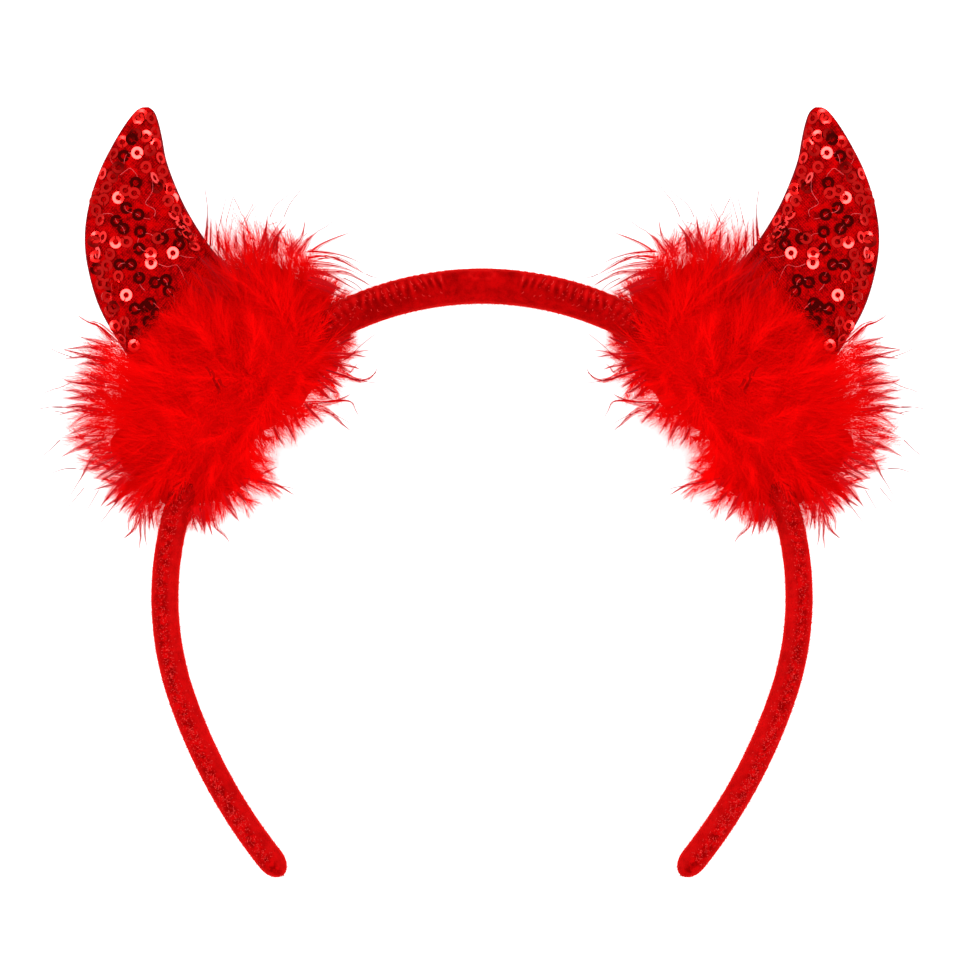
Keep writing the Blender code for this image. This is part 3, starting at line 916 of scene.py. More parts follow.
def horn_place():
    """The horn's frame on the right half: (origin, towards the crown, upright)."""
    angle = math.radians(HORN_ANGLE)
    point, outward = band_point(angle)
    origin = point + outward * band_size(angle)[0] / 2
    leaning = math.radians(HORN_ANGLE + HORN_LEAN)
    towards_crown = np.array((-math.cos(leaning), math.sin(leaning), 0.0))
    upright = np.array((math.sin(leaning), math.cos(leaning), 0.0))
    return origin, towards_crown, upright


HORN_ORIGIN, HORN_X, HORN_Y = horn_place()


def from_horn(x, y, z):
    """Points of the horn's frame, in the plane of the band."""
    x, y = np.asarray(x)[..., None], np.asarray(y)[..., None]
    made = HORN_ORIGIN + HORN_X * x + HORN_Y * y
    made[..., 2] = z
    return made


def horn_rows():
    """The horn's sections, interpolated, in metres."""
    return spline(HORN_SECTIONS, HORN_STEPS) * MM


def horn_top(thickness, across):
    """Height of the horn's front. across is -1 at its outer edge and 1 at its inner edge."""
    crown = np.maximum(1 - across**2, 0.0) ** HORN_CROWN_POWER
    base = HORN_BACKING_TOP + HORN_CLEARANCE + HORN_EDGE
    return base + np.maximum(thickness - HORN_EDGE, 0.0) * crown


def horn_front_shape():
    """(points, faces, ends, knit map, edge mark) of the padded front."""
    rows = horn_rows()
    across = -np.cos(math.pi * np.arange(HORN_STRIPS + 1) / HORN_STRIPS)
    x = rows[:, :1] + (rows[:, 2:3] - rows[:, :1]) * (across + 1) / 2
    y = rows[:, 1:2] + (rows[:, 3:4] - rows[:, 1:2]) * (across + 1) / 2
    base = HORN_BACKING_TOP + HORN_CLEARANCE
    top = horn_top(rows[:, 4:5], across)
    x = np.concatenate([x, x[:, -1:], x[:, :1]], 1)
    y = np.concatenate([y, y[:, -1:], y[:, :1]], 1)
    z = np.concatenate([top, np.full((len(rows), 2), base)], 1)
    inside = np.minimum(across + 1, 1 - across) * np.hypot(
        rows[:, 2:3] - rows[:, :1], rows[:, 3:4] - rows[:, 1:2]
    ) / 2
    from_tip = np.hypot(x[:, :-2] - rows[-1, 0], y[:, :-2] - rows[-1, 1])
    inside = np.minimum(inside, from_tip)
    edge = 1.0 - smooth_step(*HORN_EDGE_MARK, inside)
    edge = np.concatenate([edge, np.ones((len(rows), 2))], 1)
    uv = np.stack([x, y], -1) / MM
    return *tube(from_horn(x, y, z)), uv.reshape(-1, 2), edge.ravel()


def horn_back_shape():
    """(points, faces, ends) of the flat backing, with a softened rim."""
    rows = horn_rows()
    middle = (rows[:, :2] + rows[:, 2:4]) / 2
    half = (rows[:, 2:4] - rows[:, :2]) / 2
    length = np.linalg.norm(half, axis=1)
    bottom = HORN_BACKING_TOP - HORN_BACKING
    rim, top = HORN_BACKING_RIM, HORN_BACKING_TOP
    upwards = ((rim, bottom), (0.0, bottom + rim), (0.0, top - rim / 2), (rim / 2, top))
    profile = [(-1, *corner) for corner in upwards] + [(1, *corner) for corner in upwards[::-1]]
    made = []
    for side, inset, z in profile:
        share = side * np.maximum(length - inset, HORN_LEAST_HALF) / length
        place = middle + half * share[:, None]
        made.append(from_horn(place[:, 0], place[:, 1], z))
    return tube(np.stack(made, 1))


def cut_for_band(piece, cutter):
    """Saddles a piece of the horn on the band."""
    cut = piece.modifiers.new("Seat", "BOOLEAN")
    cut.operation = "DIFFERENCE"
    cut.solver = "EXACT"
    cut.object = cutter
    bpy.context.view_layer.update()
    evaluated = piece.evaluated_get(bpy.context.evaluated_depsgraph_get())
    mesh = bpy.data.meshes.new_from_object(evaluated)
    piece.modifiers.clear()
    piece.data = mesh


# Sequins on the left horn, by the pixel of their centre in the photograph. Lit ones face halfway to
# the lamp. Part lit ones also have the direction of their lit side, in degrees from the right of the
# photo, and the degrees that they are off halfway. Dark ones face the camera, and dim ones nearly.
# Red and bright ones have the direction that they lean in and their lean, in degrees.
LIT_SEQUINS = ((136.7, 152.4), (173.0, 253.1), (126.2, 295.1))
PART_LIT_SEQUINS = (
    (137.2, 117.2, 265, 3.9), (140.5, 114.0, 80, 4.0), (145.4, 135.6, 60, 3.6), (121.6, 141.0, 70, 4.2),
    (154.6, 143.6, 140, 3.9), (118.1, 197.5, 190, 1.5), (171.8, 197.9, 30, 3.4), (115.7, 242.1, 265, 2.6),
    (151.0, 253.4, 270, 2.8), (151.4, 263.1, 268, 1.9), (113.6, 325.9, 190, 3.8), (133.6, 345.2, 95, 3.4),
    (95.2, 256.2, 190, 4.4), (95.8, 236.8, 130, 4.4), (169.4, 188.2, 170, 4.2),
)
DARK_SEQUINS = (
    (123.4, 155.5), (135.7, 182.7), (126.3, 207.9), (138.4, 214.6), (116.3, 220.9), (123.4, 228.8),
    (140.4, 232.0), (131.2, 138.6), (101.5, 172.8), (163.0, 238.6), (180.3, 232.7), (179.1, 244.5),
    (139.3, 248.9), (119.6, 264.7), (131.3, 264.7), (139.6, 278.1), (155.4, 282.7), (166.3, 280.2),
    (169.1, 291.3), (135.0, 308.8), (150.5, 303.5), (145.9, 306.8), (157.2, 313.8), (164.6, 313.2),
    (148.9, 321.6), (119.4, 339.4),
)
DIM_SEQUINS = (
    (150.4, 117.2), (134.6, 133.6), (149.3, 149.8), (154.3, 131.6), (161.8, 156.4), (112.7, 176.4),
    (97.0, 193.6), (94.6, 201.0), (112.3, 152.6), (156.6, 187.0), (107.7, 284.1), (135.0, 331.5),
    (95.4, 268.4), (187.0, 219.5), (190.6, 238.0), (113.4, 306.5), (92.8, 241.0), (117.5, 167.0),
)
RED_SEQUINS = (
    (162.0, 170.2, 180, 20), (106.0, 186.6, 135, 28), (103.1, 199.0, 150, 26), (95.5, 210.0, 180, 30),
    (99.5, 219.5, 160, 45), (109.7, 254.0, 180, 28), (106.6, 265.2, 200, 22), (98.5, 272.0, 180, 40),
    (107.0, 296.3, 0, 20), (130.0, 332.0, 20, 34), (194.3, 246.1, 60, 50), (110.0, 311.0, 30, 32),
    (158.0, 238.5, 90, 20), (99.8, 283.0, 180, 30), (160.5, 181.5, 30, 30), (186.5, 233.0, 40, 48),
)
BRIGHT_SEQUINS = (
    (125.4, 190.4, 90, 19), (134.3, 193.2, 270, 18), (126.8, 242.0, 280, 19), (116.3, 287.0, 0, 40),
    (118.4, 276.3, 180, 32), (102.4, 237.0, 165, 50), (154.5, 177.5, 30, 62), (167.5, 200.4, 200, 25),
    (173.4, 215.0, 50, 56), (180.0, 223.5, 45, 58), (145.6, 166.7, 0, 24), (176.1, 208.8, 20, 42),
    (97.0, 252.4, 180, 60), (123.9, 322.0, 180, 36),
)
HORN_FRONT = 5.0 * MM  # height of the horns' fronts above the plane of the band, for places
SEQUIN_OUTER = 1.4 * MM
SEQUIN_HOLE = 0.67 * MM
SEQUIN_THICKNESS = 0.09 * MM
SEQUIN_DISH = 1.6  # degrees that its face slopes to the middle
SEQUIN_SLIT = math.radians(13.0)
SEQUIN_STEPS = 26
SLIT_FROM = (0.3, 1.0, 0.1)  # direction that the turn of the slit is measured from
SEQUIN_EDGE_ROOM = (0.7, 0.97)  # of its centre from the horn's edge in radii, if unlit and if lit
SEQUIN_EDGE_TURN = 1.12  # radii from the edge that the turn over it is counted from
SEQUIN_NEAR = 1.8  # radii between the centres of two that lie on one another
SEQUIN_REST = (0.72, 0.28)  # how far it rests on the highest place below it, and on the mean
SEQUIN_LIFT = 0.04 * MM
FILM_SCATTER = (0.88, 1.0)
# Columns: sequins, brightness of their film, painted by how the kind catches the light, whether lit, lean
# in degrees where theirs isn't given.
SEQUIN_KINDS = (
    (LIT_SEQUINS, 1.0, True, 0.0),
    (PART_LIT_SEQUINS, 1.0, True, 0.0),
    (DARK_SEQUINS, 0.85, False, 3.0),
    (DIM_SEQUINS, 0.74, False, 11.2),
    (RED_SEQUINS, 0.72, False, 0.0),
    (BRIGHT_SEQUINS, 0.88, False, 0.0),
)

# Threads between the sequins of the left horn: x and y of the points of each one's route in the
# photograph.
THREADS = (
    (109, 157, 111, 161.5, 113, 163.5, 115.5, 164.5),
    (120, 174.5, 122, 173, 126, 170, 130, 168, 134, 171.5, 137, 176, 137, 180),
    (150, 172, 152, 180, 152, 191, 145.5, 202, 147, 205, 155, 210, 154, 217),
    (124, 204, 127, 211, 136.4, 214, 142, 217.6, 150.5, 219),
    (95.5, 218.5, 98, 215.5, 104, 213.5, 110, 213.6, 113, 215, 117, 222, 123, 228, 125, 234),
    (142, 233, 150, 234, 153, 236),
    (164, 233, 166, 230, 169, 229, 175, 228.5, 181, 234, 181.5, 240, 178, 246),
    (139, 238, 138, 244, 142.5, 250, 148, 252), (179, 255, 186, 257, 194, 257.5),
    (158.6, 264, 167.5, 267, 176.4, 265, 181, 271, 185, 280),
    (117.5, 269, 119, 265.5, 122, 263.5, 128, 263.3, 131, 265, 135.5, 268.5), (138, 272.5, 139.5, 276),
    (139, 281, 141, 286, 145, 290.5),
    (158, 280, 163, 279, 167, 282, 168.4, 289.6, 174, 296, 174.6, 303),
    (106, 298, 107.6, 301, 108, 308, 112, 310.5),
    (133, 303, 135, 307, 139, 310, 142.5, 307.5, 148, 306, 152, 302.5),
    (154, 303, 158.6, 307.5, 163, 313), (124, 324, 124.6, 335, 124, 349),
    (123.6, 163, 124.6, 157, 127.5, 152.5, 131, 153.5), (141, 150, 145, 149.5, 148, 147.5),
    (180, 212, 184, 221, 190, 231, 197, 240),
)
THREAD_WIDTH = 0.1 * MM
THREAD_LIFT = 0.16 * MM
THREAD_WAVE = (0.9, 1.3 * MM)  # share of the lift, and the length of a wave of it by 2 pi
THREAD_STEPS = 8
THREAD_POINTS = 25

RAY_START = 0.05  # height above every horn
LAMP_TURN = 31.0  # degrees from the camera's direction to each sequin lamp
LAMP_DISTANCE = 1.5
LAMP_UP = 6.0  # degrees that the lamps stand towards the crown


def camera_place():
    """Where the camera stands, in the plane of the band."""
    x, y = from_photo((PHOTO_SIDE / 2, PHOTO_SIDE / 2))
    return np.array((-x, y, CAMERA_HEIGHT))


CAMERA = camera_place()


def lamp_place(side):
    """Where the lamp on this side stands, in the plane of the band."""
    turn, up = math.radians(LAMP_TURN), math.radians(LAMP_UP)
    direction = np.array((side * math.sin(turn) * math.cos(up), math.sin(up), math.cos(turn)))
    return unit(direction) * LAMP_DISTANCE


def surface_heights(tree, places):
    """The height of the horn's front under these places, or None beside it."""
    found = []
    for x, y in places:
        hit = tree.ray_cast(Vector((x, y, RAY_START)), Vector((0, 0, -1)))[0]
        found.append(None if hit is None else hit.z)
    return found


def sequin_ring(centre, normal, slit_turn):
    """(points, faces) of one ring with a slit, before it is lifted onto the horn."""
    side = unit(np.cross(normal, SLIT_FROM))
    other = np.cross(normal, side)
    turns = np.linspace(SEQUIN_SLIT / 2, 2 * math.pi - SEQUIN_SLIT / 2, SEQUIN_STEPS) + slit_turn
    around = np.cos(turns)[:, None] * side + np.sin(turns)[:, None] * other
    drop = math.tan(math.radians(SEQUIN_DISH)) * (SEQUIN_OUTER - SEQUIN_HOLE)
    corners = (
        (SEQUIN_HOLE, -drop),
        (SEQUIN_OUTER, 0.0),
        (SEQUIN_OUTER, -SEQUIN_THICKNESS),
        (SEQUIN_HOLE, -drop - SEQUIN_THICKNESS),
    )
    rings = np.stack([centre + around * reach + normal * z for reach, z in corners], 1)
    faces = grid_faces(SEQUIN_STEPS, len(corners), around=True)
    last = (SEQUIN_STEPS - 1) * len(corners)
    ends = np.array([(3, 2, 1, 0), (last, last + 1, last + 2, last + 3)])
    return rings.reshape(-1, 3), np.concatenate([faces, ends])


def tilted(start, turn, lean):
    """The direction start, leaning towards turn. Both are in degrees, turn as in the photo."""
    turn = math.radians(turn)
    beside = np.array((-math.cos(turn), math.sin(turn), 0.0))
    return unit(start + math.tan(math.radians(lean)) * beside)


def sequin_rows(chance, camera):
    """Yields (centre pixel, the direction that the sequin faces, its film's tone with the painted light
    of its kind, whether lit).
    """
    for table, tone, lit, lean in SEQUIN_KINDS:
        for row in table:
            place = np.append(from_photo(row[:2], HORN_FRONT), HORN_FRONT)
            normal = unit(camera - place)
            if lit:
                normal = unit(normal + unit(lamp_place(1) - place))
            turn = chance.uniform(0, 360)
            leaning = row[2:] or (turn, lean)
            if leaning[1]:
                normal = tilted(normal, *leaning)
            yield row[:2], normal, tone * chance.uniform(*FILM_SCATTER), lit


def horn_outline():
    """Points round the horn's edge, in the plane of the band."""
    rows = spline(HORN_SECTIONS, OUTLINE_STEPS) * MM
    edges = np.concatenate([rows[:, :2], rows[::-1, 2:4]])
    return from_horn(edges[:, 0], edges[:, 1], 0.0)


OUTLINE = horn_outline()


def on_horn(place):
    """Whether a point is inside the horn's outline: the outline is crossed an odd number of times."""
    x, y = OUTLINE[:, 0], OUTLINE[:, 1]
    next_x, next_y = np.roll(x, -1), np.roll(y, -1)
    spans = (y > place[1]) != (next_y > place[1])
    slope = (next_x - x) / np.where(spans, next_y - y, 1.0)
    return np.sum(spans & (x + (place[1] - y) * slope > place[0])) % 2 == 1


def kept_on_horn(centre, normal, lit):
    """A sequin's centre and direction, kept from sticking out over the edge.

    A lit one is moved in, and another is moved in less and turned down over the edge.
    """
    away = OUTLINE - centre
    nearest = away[np.argmin(np.linalg.norm(away, axis=1))]
    room = np.linalg.norm(nearest)
    outwards = nearest / max(room, 1e-9)
    if not on_horn(centre):
        outwards, room = -outwards, -room
    least = SEQUIN_EDGE_ROOM[lit] * SEQUIN_OUTER
    if room > SEQUIN_OUTER:
        return centre, normal
    centre = centre - outwards * max(least - room, 0.0)
    if lit:
        return centre, normal
    lean = math.acos(min(max(room, least) / (SEQUIN_OUTER * SEQUIN_EDGE_TURN), 1.0))
    return centre, unit(np.array((0, 0, math.cos(lean))) + outwards * math.sin(lean))


def make_sequins(tree, made_of, side, label):
    """The sequins of one horn, each laid on the horn and on the sequins before it."""
    chance = np.random.default_rng(SEEDS["sequins"])
    camera = CAMERA * (side, 1, 1)
    points, faces, tones, count, laid = [], [], [], 0, []
    for pixel, normal, tone, lit in sequin_rows(chance, camera):
        centre = np.append(from_photo(pixel, HORN_FRONT), 0.0)
        centre, normal = kept_on_horn(centre, normal, lit)
        ring, ring_faces = sequin_ring(centre, normal, chance.uniform(0, 2 * math.pi))
        lower = ring[2::4]
        below = surface_heights(tree, lower[:, :2])
        gaps = [h - z for h, z in zip(below, lower[:, 2]) if h is not None]
        if not gaps:
            continue
        near = SEQUIN_NEAR * SEQUIN_OUTER
        under = [level for place, level in laid if np.hypot(*(place - centre[:2])) < near]
        level = max(under, default=-SEQUIN_THICKNESS) + SEQUIN_THICKNESS
        laid.append((centre[:2], level))
        highest, mean = SEQUIN_REST
        ring[:, 2] += max(gaps) * highest + np.mean(gaps) * mean + SEQUIN_LIFT + level
        points.append(ring)
        faces.append(ring_faces + count)
        # The film's tone, painted light by kind of sequin.
        tones.append(np.full(len(ring), tone))
        count += len(ring)
    new_piece(
        f"horn_{label}_sequins",
        np.concatenate(points),
        np.concatenate(faces),
        made_of,
        side,
        attributes=(("tone", np.concatenate(tones)),),
        flat=True,
    )


def make_threads(tree, made_of, side, label):
    """The sewing thread that shows between the sequins of one horn."""
    paths = []
    for pixels in THREADS:
        route = photo_route(pixels, HORN_FRONT, THREAD_STEPS)
        lengths = np.linspace(0, lengths_along(route)[-1], THREAD_POINTS)
        route = on_route(route, lengths)
        below = surface_heights(tree, route)
        on = [h for h in below if h is not None]
        below = [h if h is not None else min(on) for h in below]
        lift = THREAD_LIFT * (1.0 + THREAD_WAVE[0] * np.sin(lengths / THREAD_WAVE[1]))
        paths.append(np.column_stack([route, np.array(below) + lift]))
    paths = np.array(paths)
    widths = np.full(paths.shape[:2], THREAD_WIDTH)
    points, faces, _ = ribbons(paths, widths)
    new_piece(f"horn_{label}_threads", points, faces, made_of, side)


def make_horns(knit, felt, film, thread):
    """Both horns: padded front, backing, sequins and threads."""
    points, faces, ends, _, _ = band_surface(HORN_CLEARANCE, *CUTTER_GRID, relief=False)
    cutter = new_piece("band_room", points, faces, felt)
    close_ends(cutter, ends)
    front_points, front_faces, front_ends, uv, edge = horn_front_shape()
    back_points, back_faces, back_ends = horn_back_shape()
    quads = [list(map(int, face)) for face in front_faces]
    tree = BVHTree.FromPolygons([Vector(p) for p in front_points], quads)
    for side, label in SIDES:
        front = new_piece(
            f"horn_{label}_knit",
            front_points,
            front_faces,
            knit,
            side,
            uv=("knit", uv),
            attributes=(("edge", edge),),
        )
        close_ends(front, front_ends)
        cut_for_band(front, cutter)
        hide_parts(f"horn_{label}_front")
        back = new_piece(
            f"horn_{label}_felt", back_points, back_faces, felt, side, flat=True
        )
        close_ends(back, back_ends)
        cut_for_band(back, cutter)
        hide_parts(f"horn_{label}_back")
        make_sequins(tree, film, side, label)
        make_threads(tree, thread, side, label)
    bpy.data.objects.remove(cutter)


# Marabou


FEATHERS = 600  # on one side
FEATHER_SHARE = (0.45, 0.97)  # shortest and longest feather, as shares of the reach
FEATHER_LONG = 0.7  # under 1, so that more of them are long
FEATHER_SPLAY = 0.26
FEATHER_SCATTER = 5.0  # degrees along the band
FEATHER_CURL = 0.24
FEATHER_BEND = (0.35, 0.6)  # shares of its length that a feather stands straight out
FEATHER_KINK = 0.13
SKIN_SHARE = 0.9  # of the band's half size, where feathers are bound on
ROOT_REACH = (4 * MM, 30 * MM)  # reaches of the down between which feathers get more frequent
ROOT_SPLIT = -1.0 * MM  # roots higher than this are before the horn, and the others behind it
BARE_FRONT = (9.0 * MM, 0.35)  # reach to the front below which it is bare, and sine of the turn
BARBS = 96  # on one feather
BARB_STEPS = 4
BARB_WIDTH = (0.19 * MM, 0.09 * MM)
BARB_LENGTH = (0.26, 0.52)  # shares of the feather's length
BARB_SHRINK = (1.12, 0.5)  # times its length at the feather's root, and how much less at its tip
BARB_LIMITS = (2.5 * MM, 13 * MM)
BARB_FIRST = 0.06  # share of the feather's length that has none
BARB_CROWDING = 0.72  # under 1, so that more of them lie towards the feather's tip
BARB_OPENING = (58.0, 40.0, 9)  # degrees from the feather at its root, less at its tip, scatter
BARB_SWEEP = (0.5, 0.22, 0.55)  # along the feather, scatter, and how much of both counts
BARB_RIPPLE = (0.045, 7.0, 6.28)  # height, radians along it, and range of those at its root
BARB_AHEAD = 0.02
BARB_TAPER = (1.5, 0.85)
BARB_TURN = 0.22  # scatter of the direction that its flat side looks in
FEATHER_TONE = 0.2  # scatter of the tone from feather to feather
BARB_TONE = 0.15
WISPS = 12000
WISPS_PER_TUFT = 8
WISP_WIDTH = 0.055 * MM
WISP_STEPS = 4
WISP_ROOT = 0.55  # share of the reach
WISP_REACH = (0.88, 1.2)
WISP_SPLAY = (0.4, 3.5, 2.4)  # splay, scatter of a tuft and of a wisp in it, in degrees
WISP_CURL = (0.2, 0.12)  # scatter of a tuft and of a wisp in it
WISP_KINK = 0.1
WISP_TAPER = (1.3, 0.7)
WISP_TURN = 2 * MM
WISP_TONE = (0.3, 0.25)
WISP_START = 0.9
HORN_SLAB_WIDTH = 1.03  # times its half width, within which a place counts as on the horn
HORN_SLAB_FOOT = 2 * MM  # how far below its foot a place still does
HORN_ROOM = (0.45 * MM, 0.4 * MM)  # between the down and the horn, before and behind it
HORN_COVERED = 21.0 * MM  # how far up the horn's front the down lies
HORN_COVER_SQUASH = 0.16  # share that is left of what would lie further up
HORN_COVER_LONGEST = 12.0 * MM
HORN_COVER_SCATTER = 1.3 * MM


def down_sizes(angle):
    """Reach inwards, outwards, to the front and to the back at these angles from the crown."""
    table = np.array(DOWN_REACH)
    degrees = np.degrees(angle)
    return [np.interp(degrees, table[:, 0], table[:, k]) * MM for k in range(1, 5)]


def down_point(angle, turn, share):
    """Points at a share of the down's reach, turn radians round the band from outwards."""
    inwards, outwards, front, back = down_sizes(angle)
    point, outward = band_point(angle)
    room = height_in_frame(point) + SINKS
    across = (outwards - inwards) / 2 + (outwards + inwards) / 2 * np.cos(turn)
    height = np.where(np.sin(turn) > 0, front, np.minimum(back, room)) * np.sin(turn)
    made = point + outward * (across * share)[..., None]
    made[..., 2] += height * share
    return made


def band_skin(angle, turn):
    """Points just under the band's surface, turn radians round it from outwards."""
    point, outward = band_point(angle)
    thickness, depth = band_size(angle)
    made = point + outward * (thickness / 2 * SKIN_SHARE * np.cos(turn))[..., None]
    made[..., 2] += depth / 2 * SKIN_SHARE * np.sin(turn)
    return made


def horn_slab_at(points):
    """(inside the horn's outline, height of its front) for points in the plane of the band."""
    rows = horn_rows()
    local = points - HORN_ORIGIN
    x, y = local @ HORN_X, local @ HORN_Y
    level = (rows[:, 1] + rows[:, 3]) / 2
    outer, inner, thick = (np.interp(y, level, rows[:, k]) for k in (0, 2, 4))
    share = (2 * x - outer - inner) / (inner - outer)
    inside = (np.abs(share) < HORN_SLAB_WIDTH) & (y > -HORN_SLAB_FOOT) & (y < level[-1])
    return inside, horn_top(thick, share)


def clear_of_horn(paths, roots):
    """The paths, with what would pass through the horn laid over it or under it."""
    inside, top = horn_slab_at(paths)
    over = (roots[:, 2] > ROOT_SPLIT)[:, None]
    above = np.maximum(paths[..., 2], top + HORN_ROOM[0])
    below = np.minimum(paths[..., 2], HORN_BACKING_TOP - HORN_BACKING - HORN_ROOM[1])
    made = paths.copy()
    made[..., 2] = np.where(inside, np.where(over, above, below), paths[..., 2])
    return made


def short_of_horn_front(paths, roots, chance):
    """The paths, kept off the part of the horn's front that shows, and which of them to keep."""
    inside, _ = horn_slab_at(paths)
    limit = HORN_COVERED + HORN_COVER_SCATTER * chance.normal(0, 1, len(paths))
    beyond = np.maximum((paths - HORN_ORIGIN) @ HORN_Y - limit[:, None], 0.0)
    over = (roots[:, 2] > ROOT_SPLIT)[:, None]
    high = over & (beyond > 0)
    crosses = np.any(high & inside, axis=1) & np.any(high & ~inside, axis=1)
    back = np.where(high & inside, beyond * (1 - HORN_COVER_SQUASH), 0.0)
    squashed = paths - back[..., None] * HORN_Y
    return squashed, ~crosses & (beyond.max(axis=1) < HORN_COVER_LONGEST)


def bare_front(angle, turn):
    """Where the front of the band shows, near both ends of a trim."""
    front = down_sizes(angle)[2]
    return (front < BARE_FRONT[0]) & (np.sin(turn) > BARE_FRONT[1])


def feather_roots(chance, count):
    """(angle along the band, turn round it) where feathers are bound on."""
    angles, turns = np.zeros(0), np.zeros(0)
    while len(angles) < count:
        angle = np.radians(chance.uniform(*DOWN_SPAN, count))
        turn = chance.uniform(0, 2 * math.pi, count)
        reach = np.linalg.norm(down_point(angle, turn, 1.0) - band_point(angle)[0], axis=-1)
        kept = (chance.uniform(*ROOT_REACH, count) < reach) & ~bare_front(angle, turn)
        angles, turns = np.append(angles, angle[kept]), np.append(turns, turn[kept])
    return angles[:count], turns[:count]


def curve(start, bend, end, share):
    """Points on the quadratic curves from start to end."""
    share = share[..., None]
    return (1 - share) ** 2 * start + 2 * share * (1 - share) * bend + share**2 * end


def tip_angles(chance, angles):
    """The angles, kept within a softened span."""
    soft = np.abs(chance.normal(0, TIP_SOFTNESS, (2, len(angles))))
    return np.clip(angles, TIP_SPAN[0] + soft[0], TIP_SPAN[1] - soft[1])


def make_feathers(chance):
    """(paths, widths, facing, tone, start share) of all barbs of one trim."""
    angle, turn = feather_roots(chance, FEATHERS)
    splay = (angle - DOWN_MIDDLE) * FEATHER_SPLAY
    splay += np.radians(chance.normal(0, FEATHER_SCATTER, FEATHERS))
    curl = chance.normal(0, FEATHER_CURL, FEATHERS)
    least, most = FEATHER_SHARE
    reach = least + (most - least) * chance.uniform(0, 1, FEATHERS) ** FEATHER_LONG
    root = band_skin(angle, turn)
    tip = down_point(tip_angles(chance, angle + splay), turn + curl, reach)
    length = np.linalg.norm(tip - root, axis=-1)
    centre = band_point(angle)[0]
    away = unit(root - centre)
    bend = root + away * (length * chance.uniform(*FEATHER_BEND, FEATHERS))[:, None]
    bend += chance.normal(0, FEATHER_KINK, (FEATHERS, 3)) * length[:, None]

    owner = np.repeat(np.arange(FEATHERS), BARBS)
    count = len(owner)
    place = chance.uniform(BARB_FIRST, 1.0, count) ** BARB_CROWDING
    start = curve(root[owner], bend[owner], tip[owner], place)
    ahead = curve(root[owner], bend[owner], tip[owner], place + BARB_AHEAD)
    along = unit(ahead - start)
    spin = unit(np.cross(along, chance.normal(0, 1, (count, 3))))
    at_root, less, scatter = BARB_OPENING
    opening = np.radians(at_root - less * place + chance.normal(0, scatter, count))
    direction = along * np.cos(opening)[:, None] + spin * np.sin(opening)[:, None]
    shrink = BARB_SHRINK[0] - BARB_SHRINK[1] * place
    size = length[owner] * chance.uniform(*BARB_LENGTH, count) * shrink
    size = np.clip(size, *BARB_LIMITS)
    shares = np.linspace(0, 1, BARB_STEPS)[None, :, None]
    onwards, scatter, swept = BARB_SWEEP
    sweep = along * onwards + chance.normal(0, scatter, (count, 3))
    wave = unit(np.cross(direction, chance.normal(0, 1, (count, 3))))
    high, radians, first = BARB_RIPPLE
    ripple = high * np.sin(shares * radians + chance.uniform(0, first, (count, 1, 1)))
    paths = start[:, None] + size[:, None, None] * (
        direction[:, None] * shares + sweep[:, None] * shares**2 * swept + wave[:, None] * ripple
    )
    paths = above_floor(clear_of_horn(paths, root[owner]))
    power, lost = BARB_TAPER
    taper = 1.0 - np.linspace(0, 1, BARB_STEPS)[None] ** power * lost
    widths = (BARB_WIDTH[0] + (BARB_WIDTH[1] - BARB_WIDTH[0]) * place)[:, None] * taper
    outwards = unit(paths - centre[owner][:, None])
    facing = unit(outwards + chance.normal(0, BARB_TURN, (count, 1, 3)))
    tone = 0.5 + FEATHER_TONE * chance.normal(0, 1, FEATHERS)[owner]
    tone = np.clip(tone + BARB_TONE * chance.normal(0, 1, count), 0, 1)
    depth = np.linalg.norm(start - centre[owner], axis=-1) / np.maximum(
        np.linalg.norm(tip - centre, axis=-1)[owner], 1e-6
    )
    paths, kept = short_of_horn_front(paths, root[owner], chance)
    made = (paths, widths, facing, tone, np.clip(depth * reach[owner], 0, 1))
    return [values[kept] for values in made]


def make_wisps(chance):
    """(paths, widths, facing, tone, start share) of the fine fibres beyond the dense down."""
    tufts = WISPS // WISPS_PER_TUFT
    angle, turn = feather_roots(chance, tufts)
    owner = np.repeat(np.arange(tufts), WISPS_PER_TUFT)
    count = len(owner)
    spread, tuft_scatter, scatter = WISP_SPLAY
    splay = (angle - DOWN_MIDDLE) * spread + np.radians(chance.normal(0, tuft_scatter, tufts))
    tip_angle = (angle + splay)[owner] + np.radians(chance.normal(0, scatter, count))
    tip_turn = (turn + chance.normal(0, WISP_CURL[0], tufts))[owner]
    tip_turn = tip_turn + chance.normal(0, WISP_CURL[1], count)
    reach = chance.uniform(*WISP_REACH, count)
    root = down_point(angle, turn, WISP_ROOT)[owner]
    tip = down_point(tip_angles(chance, tip_angle), tip_turn, reach)
    length = np.linalg.norm(tip - root, axis=-1)
    centre = band_point(angle)[0][owner]
    kink = chance.normal(0, WISP_KINK, (tufts, 3))[owner]
    bend = (root + tip) / 2 + kink * length[:, None]
    shares = np.linspace(0, 1, WISP_STEPS)
    paths = curve(root[:, None], bend[:, None], tip[:, None], shares[None])
    paths = above_floor(clear_of_horn(paths, root))
    widths = np.full((count, 1), WISP_WIDTH) * (1.0 - shares[None] ** WISP_TAPER[0] * WISP_TAPER[1])
    facing = unit(paths - centre[:, None] + chance.normal(0, WISP_TURN, (count, 1, 3)))
    tone = np.clip(chance.normal(*WISP_TONE, count), 0, 1)
    paths, kept = short_of_horn_front(paths, root, chance)
    start = np.full(count, WISP_START)
    return [values[kept] for values in (paths, widths, facing, tone, start)]


